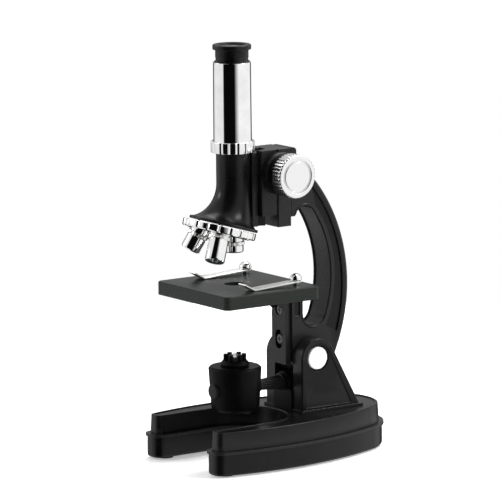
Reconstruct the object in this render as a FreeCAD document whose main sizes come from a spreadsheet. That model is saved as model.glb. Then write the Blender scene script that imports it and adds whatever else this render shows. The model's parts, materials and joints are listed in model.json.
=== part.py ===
import FreeCAD, Part
import math
import os
import Sketcher

# A beginner's compound microscope, in millimetres.
# Origin: middle of the base's footprint on the table. +Z up, -Y to the user's side of the stage
# (the open ends of the horseshoe base), +Y to the heel, +X to the user's right.

doc = FreeCAD.newDocument("Microscope")

DRIVING_SIZES = [
    # Base
    ("base_length", 125.6, "toes to heel"),
    ("base_width", 80.4, "widest point of the horseshoe"),
    ("toe_width", 69.0, "outside of the toes"),
    ("widest_place", -19.6, "y of the widest point"),
    ("leg_gap", 42.4, "between the legs"),
    ("crotch_place", -2.0, "y of the rounded end of the gap"),
    ("tray_height", 13.5, "top of the lower tier"),
    ("base_height", 23.5, "top of the upper tier"),
    ("base_wall", 2.0, "wall of tray and cover"),
    ("tray_inset", 0.9, "lip of the lower tier over its side"),
    ("lip_height", 1.4, "height of the lip"),
    ("cover_inset", 2.6, "upper tier behind the lip"),
    ("cover_wall", 1.6, "side wall of the upper tier at its foot"),
    ("cover_draft", 3.0, "draft angle of the upper tier"),
    ("top_rim", 1.3, "width of the raised rim on top"),
    ("top_recess", 0.5, "depth inside the raised rim"),
    ("toe_round", 6.0, "corner radius of the toes"),
    ("foot_radius", 4.2, "rubber feet"),
    ("foot_height", 0.8, "rubber feet below the tray"),
    ("foot_pocket", 1.0, "rubber feet inside the tray"),
    ("toe_foot_place", 28.0, "x of the toe feet"),
    ("heel_foot_place", 13.0, "x of the heel feet"),
    ("foot_margin", 10.0, "feet from the ends of the base"),
    ("cell_radius", 7.15, "AA cell"),
    ("cell_length", 50.0, "AA cell with its button"),
    ("cell_place", 20.3, "y between the two cells"),
    ("door_length", 52.0, "battery door along x"),
    ("door_front", 1.8, "y of the door's front edge"),
    ("door_depth", 35.6, "battery door along y"),
    ("door_thick", 1.6, "battery door"),
    ("door_screw", 2.2, "door's screw behind its front edge"),
    ("boss_radius", 3.0, "screw bosses of the cover"),
    ("case_screw_radius", 1.15, "screws of the base"),
    ("case_head_radius", 2.5, "heads of the base's screws"),
    ("case_head_depth", 1.0, "pockets of those heads"),
    ("frame_screw_radius", 0.95, "screws up into uprights and post"),
    ("frame_screw_reach", 6.5, "their length"),
    ("frame_screw_x", 12.4, "x of the screws of an upright"),
    ("frame_head_radius", 1.9, "heads of those screws"),
    ("frame_head_thick", 1.1, "heads of those screws"),
    # Uprights and pivot
    ("upright_gap", 16.6, "between the two uprights"),
    ("upright_thick", 8.2, "each upright"),
    ("upright_round", 10.6, "top radius of an upright"),
    ("upright_back", 42.7, "y of the back foot of an upright"),
    ("upright_rim", 2.1, "raised border of an upright"),
    ("panel_depth", 0.5, "recessed panels"),
    ("flange_reach", 0.8, "foot flange of an upright"),
    ("flange_height", 1.5, "foot flange of an upright"),
    ("pivot_place", 15.2, "y of the arm's pivot"),
    ("pivot_height", 51.8, "z of the arm's pivot"),
    ("bolt_radius", 2.5, "pivot bolt"),
    ("bolt_head_radius", 4.6, "pivot bolt's head and nut"),
    ("bolt_head_thick", 2.6, "pivot bolt's head and nut"),
    ("cap_radius", 5.95, "plain disc over the pivot"),
    ("cap_thick", 1.6, "plain disc over the pivot"),
    ("cap_recess_radius", 7.0, "round recess of the disc"),
    ("cap_recess", 1.4, "depth of the disc's recess"),
    # Arm
    ("arm_width", 15.6, "thickness of the arm casting"),
    ("arm_front", 4.6, "y of the arm's mounting faces"),
    ("arm_outer_radius", 87.5, "outer arc of the arm"),
    ("arm_outer_place", -45.4, "y of the outer arc's centre"),
    ("arm_outer_height", 88.9, "z of the outer arc's centre"),
    ("arm_inner_radius", 62.65, "inner arc of the arm"),
    ("arm_inner_place", -32.2, "y of the inner arc's centre"),
    ("arm_inner_height", 94.2, "z of the inner arc's centre"),
    ("throat_foot_radius", 8.0, "lower end of the arm's opening"),
    ("throat_foot_height", 75.0, "z of the lower end's centre"),
    ("throat_top_radius", 7.0, "upper end of the arm's opening"),
    ("throat_top_height", 126.0, "z of the upper end's centre"),
    ("arm_root_depth", 3.5, "arm behind the focus head"),
    ("arm_root_bottom", 127.4, "z of the arm's root"),
    ("hub_radius", 10.0, "arm around the pivot"),
    ("arm_bead", 2.0, "raised bead along the opening"),
    ("arm_band", 4.5, "outer band of the arm"),
    ("arm_recess", 0.8, "panel behind the bead"),
    # Focus head
    ("head_top", 164.0, "top of the focus head"),
    ("head_bottom", 122.8, "bottom of the focus head"),
    ("guide_bottom", 129.4, "bottom of the slide guide"),
    ("head_width", 18.0, "focus head"),
    ("head_depth", 8.4, "rear block of the focus head"),
    ("head_groove", 0.9, "groove between the two blocks"),
    ("guide_depth", 9.6, "front block of the focus head"),
    ("shaft_place", -4.0, "y of the focus shaft"),
    ("shaft_height", 151.5, "z of the focus shaft"),
    ("shaft_radius", 2.0, "focus shaft"),
    ("housing_radius", 11.3, "round housings of the shaft"),
    ("housing_length", 6.0, "round housings of the shaft"),
    ("knob_radius", 11.6, "focus knobs"),
    ("knob_thick", 8.0, "focus knobs"),
    ("knob_reach", 26.0, "outer face of a knob from the middle"),
    ("knob_flutes", 36, "grooves round a knob"),
    ("knob_flute_radius", 0.55, "grooves round a knob"),
    # Slide, rack and pinion
    ("slide_width", 12.0, "front bar of the slide"),
    ("slide_bar_depth", 3.5, "front bar of the slide"),
    ("slide_bottom", 124.0, "z of the slide"),
    ("slide_top", 163.0, "z of the slide"),
    ("dovetail_neck", 8.6, "dovetail at its neck"),
    ("dovetail_back", 12.2, "dovetail at its back"),
    ("dovetail_depth", 4.1, "dovetail"),
    ("rack_width", 4.8, "rack"),
    ("rack_seat", 1.5, "rack sunk into the slide"),
    ("rack_margin", 0.6, "slide beyond the rack's ends"),
    ("tooth_module", 0.8333333, "rack and pinion"),
    ("pinion_teeth", 12, "pinion"),
    ("pinion_width", 4.4, "pinion"),
    # Tube
    ("axis_place", -27.0, "y of the optical axis"),
    ("neck_radius", 8.8, "body tube"),
    ("neck_top", 163.8, "z of the body tube's shoulder"),
    ("flare_start", 147.5, "z where the tube begins to flare"),
    ("spigot_radius", 8.1, "tube inside the chrome tube"),
    ("spigot_length", 6.0, "tube inside the chrome tube"),
    ("light_bore", 4.6, "light path through the tube"),
    ("collar_radius", 11.5, "fluted ring"),
    ("collar_height", 5.9, "fluted ring"),
    ("collar_flutes", 16, "fluted ring"),
    ("collar_flute_radius", 2.2, "fluted ring"),
    ("collar_flute_depth", 0.35, "fluted ring"),
    ("chrome_radius", 10.05, "chrome tube at its foot"),
    ("chrome_draft", 0.18, "chrome tube narrower at its top"),
    ("chrome_bore", 9.0, "chrome tube"),
    ("chrome_top", 211.1, "z of the chrome tube's top"),
    # Eyepiece
    ("barrel_radius", 8.92, "eyepiece inside the tube"),
    ("barrel_length", 17.0, "eyepiece inside the tube"),
    ("eye_low_height", 0.5, "shoulder of the eyepiece on the tube"),
    ("eye_low_radius", 9.3, "eyepiece just above the tube"),
    ("eye_neck_radius", 8.7, "neck of the eyepiece"),
    ("eye_flange_radius", 10.1, "top flange of the eyepiece"),
    ("eye_flange_thick", 2.6, "top flange of the eyepiece"),
    ("eye_height", 9.2, "eyepiece above the tube"),
    ("eye_lens_radius", 5.6, "eye lens"),
    ("field_lens_radius", 7.6, "field lens"),
    # Turret
    ("turret_radius", 19.5, "objective turret"),
    ("turret_thick", 4.3, "objective turret"),
    ("turret_tilt", 16.8, "angle of the turret's axis"),
    ("turret_flutes", 20, "edge of the turret"),
    ("turret_flute_radius", 3.2, "edge of the turret"),
    ("turret_flute_depth", 0.45, "edge of the turret"),
    ("nose_radius", 18.2, "lip of the tube over the turret"),
    ("nose_back", 6.15, "lip's centre in front of the optical axis"),
    ("nose_height", 126.7, "z of the lip's centre"),
    ("lip_thick", 1.1, "lip"),
    ("lip_overlap", 0.4, "lip's top over the end of the flare"),
    ("objective_circle", 9.6, "objectives from the turret's centre"),
    ("active_seat", 120.8, "z of the working objective's seat"),
    ("objective_radius", 5.2, "objectives"),
    ("objective_rim", 0.45, "collar of an objective over its barrel"),
    ("low_length", 9.8, "low power objective"),
    ("mid_length", 14.0, "middle power objective"),
    ("high_length", 17.5, "high power objective"),
    # Stage
    ("stage_width", 65.0, "stage along x"),
    ("stage_depth", 59.8, "stage along y"),
    ("stage_thick", 7.0, "stage"),
    ("stage_height", 94.0, "z of the stage's top"),
    ("stage_shift", 2.5, "stage's centre behind the optical axis"),
    ("stage_round", 3.0, "corners of the stage"),
    ("stage_hole", 5.25, "radius of the light hole"),
    ("bracket_width", 12.6, "stage bracket"),
    ("bracket_thick", 3.2, "stage bracket"),
    ("bracket_bottom", 48.2, "z of the bracket's lower end"),
    ("bracket_shelf", 14.0, "bracket under the stage"),
    ("slot_width", 6.0, "oval slot and notch in the bracket"),
    ("slot_height", 10.2, "oval slot"),
    ("slot_place", 61.3, "z of the oval slot"),
    ("slot_depth", 1.7, "oval slot and notch"),
    ("plate_screw_radius", 1.4, "screws of the bracket"),
    ("plate_screw_reach", 5.5, "their length"),
    ("stage_screw_radius", 0.9, "screws up into the stage"),
    ("stage_screw_reach", 5.0, "their length"),
    ("stage_screw_x", 2.2, "x of those screws"),
    ("shelf_thick", 2.4, "bracket under the stage"),
    ("head_screw_radius", 0.9, "screws of the focus head"),
    ("head_screw_reach", 6.5, "their length"),
    ("head_screw_x", 4.0, "x of those screws"),
    ("head_screw_drop", 3.9, "those screws below the head's top"),

    ("notch_foot", 74.2, "z of the notch's rounded foot"),
    ("upper_screw", 76.8, "z of the upper bracket screw"),
    # Clips
    ("clip_place_x", 22.9, "studs from the middle"),
    ("clip_place_y", -3.7, "y of the studs"),
    ("clip_reach", 28.3, "stud to the clip's bend"),
    ("clip_tip", 5.8, "turned-up end of a clip"),
    ("clip_width", 7.0, "clip"),
    ("clip_thick", 0.6, "clip"),
    ("clip_touch", 0.25, "clip above the stage at its bend"),
    ("clip_rise", 3.4, "turned-up end above the bend"),
    ("clip_root", 3.0, "flat part of a clip each side of its stud"),
    ("clip_lift", 1.7, "clip above the stage at its stud"),
    ("ball_radius", 3.2, "heads of the clip studs"),
    ("ball_height", 3.1, "ball's centre above the stage"),
    ("stud_radius", 1.25, "clip studs"),
    # Illuminator
    ("lamp_height", 38.2, "z of the turning axis"),
    ("drum_radius", 14.0, "drum at its top"),
    ("drum_foot_radius", 12.4, "drum at its foot"),
    ("drum_top", 50.4, "z of the drum's top"),
    ("drum_bottom", 26.8, "z of the drum's foot"),
    ("drum_wall", 1.8, "drum"),
    ("mirror_radius", 10.0, "mirror under the drum"),
    ("mirror_thick", 1.8, "mirror"),
    ("socket_radius", 6.2, "lamp holder"),
    ("socket_height", 3.2, "lamp holder above the drum"),
    ("prong_count", 6, "prongs of the lamp holder"),
    ("prong_height", 3.2, "prongs of the lamp holder"),
    ("bulb_radius", 2.9, "bulb"),
    ("axle_radius", 2.4, "axle of the illuminator"),
    ("grip_radius", 4.1, "fluted grip at its big end"),
    ("grip_start", 13.8, "grip's front end behind the optical axis"),
    ("grip_end", 29.5, "grip's rear end behind the optical axis"),
    ("post_front", 3.5, "y of the bearing post"),
    ("post_thick", 3.6, "bearing post"),
    ("post_width", 11.0, "bearing post"),
    ("axle_cap_radius", 3.85, "round cap on the drum's front"),
    ("axle_cap_thick", 1.0, "round cap on the drum's front"),
    ("cap_boss", 13.7, "face of the cap's boss from the drum's middle"),
    ("bush_face", 14.4, "face of the axle's bush from the drum's middle"),
    ("bush_depth", 1.8, "axle inside its bush"),
    ("shoulder_height", 33.0, "z of the bearing post's shoulders"),
    ("shoulder_round", 2.0, "bearing post's shoulders"),

    # Fits
    ("running_gap", 0.05, "radial clearance of a turning fit"),
    ("slide_gap", 0.1, "clearance of a sliding face"),
    ("seat_gap", 0.1, "clearance of a seated piece"),
    ("free_gap", 0.3, "clearance of what moves past"),
]


class Size:
    """A number together with the formula that gives it from the sheet."""

    def __init__(self, number, formula):
        self.number = number
        self.formula = formula

    def __add__(self, other):
        other = as_size(other)
        return Size(self.number + other.number, f"({self.formula} + {other.formula})")

    def __sub__(self, other):
        other = as_size(other)
        return Size(self.number - other.number, f"({self.formula} - {other.formula})")

    def __mul__(self, other):
        other = as_size(other)
        return Size(self.number * other.number, f"({self.formula} * {other.formula})")

    def __truediv__(self, other):
        other = as_size(other)
        return Size(self.number / other.number, f"({self.formula} / {other.formula})")

    def __radd__(self, other):
        return as_size(other) + self

    def __rsub__(self, other):
        return as_size(other) - self

    def __rmul__(self, other):
        return as_size(other) * self

    def __neg__(self):
        return Size(-self.number, f"(0 - {self.formula})")


def as_size(value):
    if isinstance(value, Size):
        return value
    return Size(float(value), repr(float(value)))


def root(value):
    return Size(math.sqrt(value.number), f"sqrt({value.formula})")


def sine(value):
    value = as_size(value)
    return Size(math.sin(math.radians(value.number)), f"sin({value.formula})")


def cosine(value):
    value = as_size(value)
    return Size(math.cos(math.radians(value.number)), f"cos({value.formula})")


def length_of(x, y):
    return root(x * x + y * y)


class Names:
    """The driving sizes and the sizes worked out from them, by name."""


def read_sheet():
    sheet = doc.addObject("Spreadsheet::Sheet", "Sizes")
    names = Names()
    for row, (alias, number, note) in enumerate(DRIVING_SIZES, 1):
        sheet.set(f"A{row}", alias)
        sheet.set(f"B{row}", str(number))
        sheet.setAlias(f"B{row}", alias)
        sheet.set(f"C{row}", note)
        setattr(names, alias, Size(float(number), f"Sizes.{alias}"))
    return names


s = read_sheet()
derived = doc.addObject("App::VarSet", "Derived")


def name_size(word, value):
    """Keeps a worked-out size under a name, bound to its formula."""
    derived.addProperty("App::PropertyFloat", word)
    derived.setExpression(word, value.formula)
    setattr(s, word, Size(value.number, f"Derived.{word}"))


class Pose:
    """A placement together with the formula that gives it."""

    def __init__(self, placement, formula):
        self.placement = placement
        self.formula = formula

    def __mul__(self, other):
        return Pose(self.placement * other.placement, f"{self.formula} * {other.formula}")


X_AXIS = (1, 0, 0)
Y_AXIS = (0, 1, 0)
Z_AXIS = (0, 0, 1)


def move(x=0, y=0, z=0):
    x, y, z = as_size(x), as_size(y), as_size(z)
    spot = FreeCAD.Vector(x.number, y.number, z.number)
    still = "rotation(vector(0; 0; 1); 0)"
    return Pose(
        FreeCAD.Placement(spot, FreeCAD.Rotation()),
        f"placement(vector({x.formula}; {y.formula}; {z.formula}); {still})",
    )


def turn(axis, angle):
    angle = as_size(angle)
    turned_by = FreeCAD.Rotation(FreeCAD.Vector(*axis), angle.number)
    arrow = f"vector({axis[0]}; {axis[1]}; {axis[2]})"
    return Pose(
        FreeCAD.Placement(FreeCAD.Vector(), turned_by),
        f"placement(vector(0; 0; 0); rotation({arrow}; {angle.formula}))",
    )


def put(item, pose):
    item.Placement = pose.placement
    item.setExpression("Placement", pose.formula)
    return item


def bind(item, prop, value):
    value = as_size(value)
    item.setExpression(prop, value.formula)


# ---------------------------------------------------------------- sketches and features

def new_body(label):
    body = doc.addObject("PartDesign::Body", label)
    body.Label = label
    return body


def arc_between(first, last, radius):
    """A sketch arc from first to last; a positive radius turns left, a negative one right."""
    if radius < 0:
        return arc_between(last, first, -radius)
    chord = last - first
    middle = (first + last) * 0.5
    left = FreeCAD.Vector(-chord.y, chord.x, 0)
    left.normalize()
    rise = math.sqrt(max(radius ** 2 - (chord.Length / 2) ** 2, 0.0))
    centre = middle + left * rise
    circle = Part.Circle(centre, FreeCAD.Vector(0, 0, 1), radius)
    start = math.atan2(first.y - centre.y, first.x - centre.x)
    end = math.atan2(last.y - centre.y, last.x - centre.x)
    if end < start:
        end += 2 * math.pi
    return Part.ArcOfCircle(circle, start, end)


def draw_outline(sketch, corners):
    """A closed outline; a corner's third value is the radius of the arc that leads to it."""
    start = sketch.GeometryCount
    spots = [FreeCAD.Vector(as_size(c[0]).number, as_size(c[1]).number, 0) for c in corners]
    ends = []
    limits = []
    for index, corner in enumerate(corners):
        first = spots[index - 1]
        last = spots[index]
        geometry = start + index
        if len(corner) == 3:
            radius = as_size(corner[2])
            sketch.addGeometry(arc_between(first, last, radius.number))
            backwards = radius.number < 0
            ends.append((2, 1) if backwards else (1, 2))
            size = -radius if backwards else radius
            limits.append((Sketcher.Constraint("Radius", geometry, size.number), size))
        else:
            sketch.addGeometry(Part.LineSegment(first, last))
            ends.append((1, 2))
    count = len(corners)
    for index in range(count):
        following = (index + 1) % count
        sketch.addConstraint(Sketcher.Constraint(
            "Coincident", start + index, ends[index][1], start + following, ends[following][0]))
    for index, corner in enumerate(corners):
        for kind, value in (("DistanceX", corner[0]), ("DistanceY", corner[1])):
            size = as_size(value)
            limit = Sketcher.Constraint(kind, -1, 1, start + index, ends[index][1], size.number)
            limits.append((limit, size))
    for limit, size in limits:
        number = sketch.addConstraint(limit)
        sketch.setExpression(f"Constraints[{number}]", size.formula)


def draw_circle(sketch, x, y, radius):
    x, y, radius = as_size(x), as_size(y), as_size(radius)
    geometry = sketch.GeometryCount
    centre = FreeCAD.Vector(x.number, y.number, 0)
    sketch.addGeometry(Part.Circle(centre, FreeCAD.Vector(0, 0, 1), radius.number))
    limits = [
        (Sketcher.Constraint("DistanceX", -1, 1, geometry, 3, x.number), x),
        (Sketcher.Constraint("DistanceY", -1, 1, geometry, 3, y.number), y),
        (Sketcher.Constraint("Radius", geometry, radius.number), radius),
    ]
    for limit, size in limits:
        number = sketch.addConstraint(limit)
        sketch.setExpression(f"Constraints[{number}]", size.formula)


def new_sketch(body, role, at=0, outlines=(), circles=()):
    name = f"{body.Label}_sketch"
    sketch = body.newObject("Sketcher::SketchObject", name)
    plane = next(item for item in body.Origin.OriginFeatures if item.Role == role)
    sketch.AttachmentSupport = [(plane, "")]
    sketch.MapMode = "FlatFace"
    bind(sketch, "AttachmentOffset.Base.z", at)
    for corners in outlines:
        draw_outline(sketch, corners)
    for circle in circles:
        draw_circle(sketch, *circle)
    return sketch


def pad(body, role, at, length, outlines=(), circles=(), taper=None):
    """Material from the plane at 'at', along the plane's normal."""
    feature = body.newObject("PartDesign::Pad", f"{body.Label}_pad")
    feature.Profile = new_sketch(body, role, at, outlines, circles)
    bind(feature, "Length", length)
    if taper is not None:
        bind(feature, "TaperAngle", taper)
    return feature


def pocket(body, role, at, depth, outlines=(), circles=(), along=False):
    """Cuts from the plane at 'at', against the plane's normal, or along it."""
    doc.recompute()
    before = body.Shape.Volume
    feature = body.newObject("PartDesign::Pocket", f"{body.Label}_pocket")
    feature.Profile = new_sketch(body, role, at, outlines, circles)
    bind(feature, "Length", depth)
    feature.Reversed = along
    doc.recompute()
    if not body.Shape.Volume < before:
        raise RuntimeError(f"a pocket in {body.Label} cuts nothing")
    return feature


def around(body, feature, count, axis=("N_Axis",)):
    """Repeats a pocket around its sketch's normal."""
    pattern = body.newObject("PartDesign::PolarPattern", f"{body.Label}_pattern")
    pattern.Originals = [feature]
    pattern.Axis = (feature.Profile[0], list(axis))
    pattern.Angle = 360
    bind(pattern, "Occurrences", count)
    body.Tip = pattern
    return pattern


def ease(body, radius, chosen, kind="Fillet"):
    """Rounds or chamfers the edges for which chosen(edge) holds."""
    doc.recompute()
    base = body.Tip
    names = [f"Edge{n}" for n, edge in enumerate(base.Shape.Edges, 1) if chosen(edge)]
    if not names:
        raise RuntimeError(f"no edge to ease in {body.Label}")
    feature = body.newObject(f"PartDesign::{kind}", f"{body.Label}_{kind.lower()}")
    feature.Base = (base, names)
    bind(feature, "Radius" if kind == "Fillet" else "Size", radius)
    return feature


def flat_at(edge, axis, value, margin=0.02):
    """True for an edge that lies in the plane axis = value."""
    box = edge.BoundBox
    low = getattr(box, f"{axis}Min")
    high = getattr(box, f"{axis}Max")
    place = as_size(value).number
    return abs(low - place) < margin and abs(high - place) < margin


def turned(label, corners, pose=None):
    """A piece turned about its own Z axis, from corners given as (radius, z)."""
    body = new_body(label)
    feature = body.newObject("PartDesign::Revolution", f"{label}_turn")
    feature.Profile = new_sketch(body, "XZ_Plane", 0, [corners])
    feature.ReferenceAxis = (feature.Profile[0], ["V_Axis"])
    feature.Angle = 360
    if pose is not None:
        put(body, pose)
    return body


# ---------------------------------------------------------------- primitives and booleans

def cylinder(name, radius, height, pose=None):
    item = doc.addObject("Part::Cylinder", name)
    bind(item, "Radius", radius)
    bind(item, "Height", height)
    if pose is not None:
        put(item, pose)
    return item


def sphere(name, radius, pose):
    item = doc.addObject("Part::Sphere", name)
    bind(item, "Radius", radius)
    return put(item, pose)


def block(name, width, depth, height, x, y, z):
    """A box centred on x, with its low y and z given."""
    item = doc.addObject("Part::Box", name)
    bind(item, "Length", width)
    bind(item, "Width", depth)
    bind(item, "Height", height)
    return put(item, move(x - as_size(width) / 2, y, z))


def fuse(name, items):
    item = doc.addObject("Part::MultiFuse", name)
    item.Shapes = items
    item.Label = name
    return item


def cut(name, base, tool):
    item = doc.addObject("Part::Cut", name)
    item.Base = base
    item.Tool = tool
    item.Label = name
    return item


def group(name, items):
    item = doc.addObject("Part::Compound", name)
    item.Links = items
    item.Label = name
    return item


def cross_screw(name, pose, head_radius, head_thick, shank_radius, shank_length):
    """A cross-head screw whose head sits on the pose's z = 0 plane, shank along -z."""
    head = cylinder(f"{name}_head", head_radius, head_thick)
    shank = cylinder(f"{name}_shank", shank_radius, shank_length, move(z=-shank_length))
    solid = fuse(f"{name}_blank", [head, shank])
    reach = head_radius * 1.2
    slot = head_radius * 0.22
    depth = head_thick * 0.5
    first = block(f"{name}_slot_a", reach, slot, head_thick, 0, -slot / 2, depth)
    second = block(f"{name}_slot_b", slot, reach, head_thick, 0, -reach / 2, depth)
    cross = fuse(f"{name}_cross", [first, second])
    screw = cut(name, solid, cross)
    return put(screw, pose)


def screw_group(label, poses, head_radius, head_thick, shank_radius, shank_length):
    sizes = [as_size(v) for v in (head_radius, head_thick, shank_radius, shank_length)]
    screws = [cross_screw(f"{label}_{n}", pose, *sizes) for n, pose in enumerate(poses, 1)]
    return group(label, screws)


DOWNWARD_HEAD = turn(X_AXIS, 180)
FRONT_HEAD = turn(X_AXIS, 90)
LEFT_HEAD = turn(Y_AXIS, -90)
RIGHT_HEAD = turn(Y_AXIS, 90)


# ---------------------------------------------------------------- worked-out sizes

def work_out_base():
    half = s.base_width / 2
    taken = half - s.toe_width / 2
    run = s.base_length / 2 + s.widest_place
    name_size("side_radius", (taken * taken + run * run) / (2 * taken))
    rear = s.base_length / 2 - s.widest_place
    heel = (2 * s.side_radius * half - half * half - rear * rear) / (2 * (s.side_radius - rear))
    name_size("heel_radius", heel)
    name_size("side_centre", half - s.side_radius)
    name_size("heel_centre", s.base_length / 2 - s.heel_radius)
    name_size("gap_centre", s.crotch_place - s.leg_gap / 2)
    reach = s.side_radius - s.heel_radius
    name_size("heel_turn_x", -s.side_centre / reach)
    name_size("heel_turn_y", (s.heel_centre - s.widest_place) / reach)
    name_size("seat", s.base_height - s.top_recess)
    name_size("toe_centre", s.toe_round - s.base_length / 2)
    name_size("toe_inner", s.leg_gap / 2 + s.toe_round)
    span = s.side_radius - s.toe_round
    drop = s.toe_centre - s.widest_place
    name_size("toe_outer", s.side_centre + root(span * span - drop * drop))
    name_size("toe_bend_x", (s.toe_outer - s.side_centre) / span)
    name_size("toe_bend_y", drop / span)
    name_size("tray_floor", s.foot_height + s.base_wall)
    name_size("roof", s.seat - s.base_wall)
    name_size("door_place", s.door_front + s.door_depth / 2)
    name_size("post_middle", s.post_front + s.post_thick / 2)


def work_out_arm():
    name_size("head_back", s.arm_front - 0.8)
    name_size("root_back", s.arm_front + s.arm_root_depth)
    rise = s.throat_foot_height - s.arm_inner_height
    reach = s.arm_inner_radius - s.throat_foot_radius
    name_size("throat_foot_place", s.arm_inner_place + root(reach * reach - rise * rise))
    climb = s.throat_top_height - s.arm_inner_height
    span = s.arm_inner_radius - s.throat_top_radius
    name_size("throat_top_place", s.arm_inner_place + root(span * span - climb * climb))
    name_size("stage_under", s.stage_height - s.stage_thick)
    name_size("shelf_screw_y", s.arm_front - s.bracket_shelf + 3.2)


def work_out_head():
    name_size("rear_block_front", s.head_back - s.head_depth)
    name_size("guide_back", s.rear_block_front - s.head_groove)
    name_size("guide_front", s.guide_back - s.guide_depth)
    name_size("pitch_radius", s.tooth_module * s.pinion_teeth / 2)
    name_size("rack_pitch", s.shaft_place - s.pitch_radius)
    name_size("dovetail_front", s.guide_front + s.slide_gap)
    name_size("dovetail_rear", s.dovetail_front + s.dovetail_depth)


def work_out_turret():
    name_size("tilt_sine", sine(s.turret_tilt))
    name_size("tilt_cosine", cosine(s.turret_tilt))
    name_size("turret_place", s.axis_place - s.objective_circle * s.tilt_cosine)
    name_size("turret_height", s.active_seat + s.objective_circle * s.tilt_sine)
    name_size("nose_place", s.axis_place - s.nose_back)
    name_size("collar_reach", s.objective_radius + s.objective_rim)
    low = s.turret_thick / 2 + s.collar_reach * s.tilt_sine
    name_size("objective_seat", low / s.tilt_cosine + s.running_gap)


work_out_base()
work_out_arm()
work_out_head()
work_out_turret()
doc.recompute()

TURRET_POSE = move(0, s.turret_place, s.turret_height) * turn(X_AXIS, -s.turret_tilt)
OPTICAL_AXIS = move(0, s.axis_place, 0)


# ---------------------------------------------------------------- base

def base_outline(inset):
    """The horseshoe, drawn 'inset' inside the widest outline."""
    side = s.side_radius - inset
    heel = s.heel_radius - inset
    corner = s.toe_round - inset
    gap = s.leg_gap / 2 + inset
    front = inset - s.base_length / 2
    bend_x = s.side_centre + side * s.toe_bend_x
    bend_y = s.widest_place + side * s.toe_bend_y
    turn_x = heel * s.heel_turn_x
    turn_y = s.heel_centre + heel * s.heel_turn_y
    return [
        (s.toe_inner, front, corner),
        (s.toe_outer, front),
        (bend_x, bend_y, corner),
        (turn_x, turn_y, side),
        (0, s.heel_centre + heel, heel),
        (-turn_x, turn_y, heel),
        (-bend_x, bend_y, side),
        (-s.toe_outer, front, corner),
        (-s.toe_inner, front),
        (-gap, s.toe_centre, corner),
        (-gap, s.gap_centre),
        (0, s.gap_centre + gap, -gap),
        (gap, s.gap_centre, -gap),
        (gap, s.toe_centre),
    ]


def rectangle(x, y, width, depth):
    """A rectangle centred on x and y."""
    x, y = as_size(x), as_size(y)
    half_w = as_size(width) / 2
    half_d = as_size(depth) / 2
    return [
        (x - half_w, y - half_d),
        (x + half_w, y - half_d),
        (x + half_w, y + half_d),
        (x - half_w, y + half_d),
    ]


def foot_spots():
    front = s.foot_margin - s.base_length / 2
    back = s.base_length / 2 - s.foot_margin
    spots = []
    for side in (-1, 1):
        spots.append((side * s.toe_foot_place, front))
        spots.append((side * s.heel_foot_place, back))
    return spots


def screw_spots():
    """Screws up through the tray: toes, waist and heel."""
    toe = s.foot_margin * 2.2 - s.base_length / 2
    waist = s.toe_foot_place + 3
    heel = s.base_length / 2 - 6.5
    waist_y = s.crotch_place + 6
    spots = [(0, heel)]
    for side in (-1, 1):
        spots.append((side * s.toe_foot_place, toe))
        spots.append((side * waist, waist_y))
    return spots


def frame_screw_spots():
    """Screws up through the cover's roof into the uprights and the bearing post."""
    spots = []
    for side in (-1, 1):
        spots.append((as_size(side * 3.6), s.post_middle))
        spots.append((side * s.frame_screw_x, s.pivot_place - 3))
        spots.append((side * s.frame_screw_x, s.upright_back - 8))
    return spots


def with_radius(spots, radius):
    return [(x, y, radius) for x, y in spots]


def door_outline(gap):
    return rectangle(0, s.door_place, s.door_length - 2 * gap, s.door_depth - 2 * gap)


def door_screw_spot():
    return (0, s.door_front + s.door_screw)


def make_base_tray():
    body = new_body("base_tray")
    bottom = s.foot_height
    pad(body, "XY_Plane", bottom, s.tray_height - bottom, [base_outline(s.tray_inset)])
    pad(body, "XY_Plane", s.tray_height - s.lip_height, s.lip_height, [base_outline(0)])
    ease(body, 1.6, lambda edge: flat_at(edge, "Z", bottom))
    inner = base_outline(s.tray_inset + s.base_wall)
    pocket(body, "XY_Plane", s.tray_height, s.tray_height - s.tray_floor, [inner])
    pocket(body, "XY_Plane", s.tray_floor, s.base_wall, [door_outline(as_size(0))])
    feet = with_radius(foot_spots(), s.foot_radius + s.seat_gap)
    pocket(body, "XY_Plane", bottom, s.foot_pocket, (), feet, along=True)
    heads = with_radius(screw_spots(), s.case_head_radius + 2 * s.seat_gap)
    pocket(body, "XY_Plane", bottom, s.case_head_depth, (), heads, along=True)
    holes = with_radius(screw_spots(), s.case_screw_radius + 2 * s.seat_gap)
    pocket(body, "XY_Plane", bottom, s.base_wall, (), holes, along=True)
    return body


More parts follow.
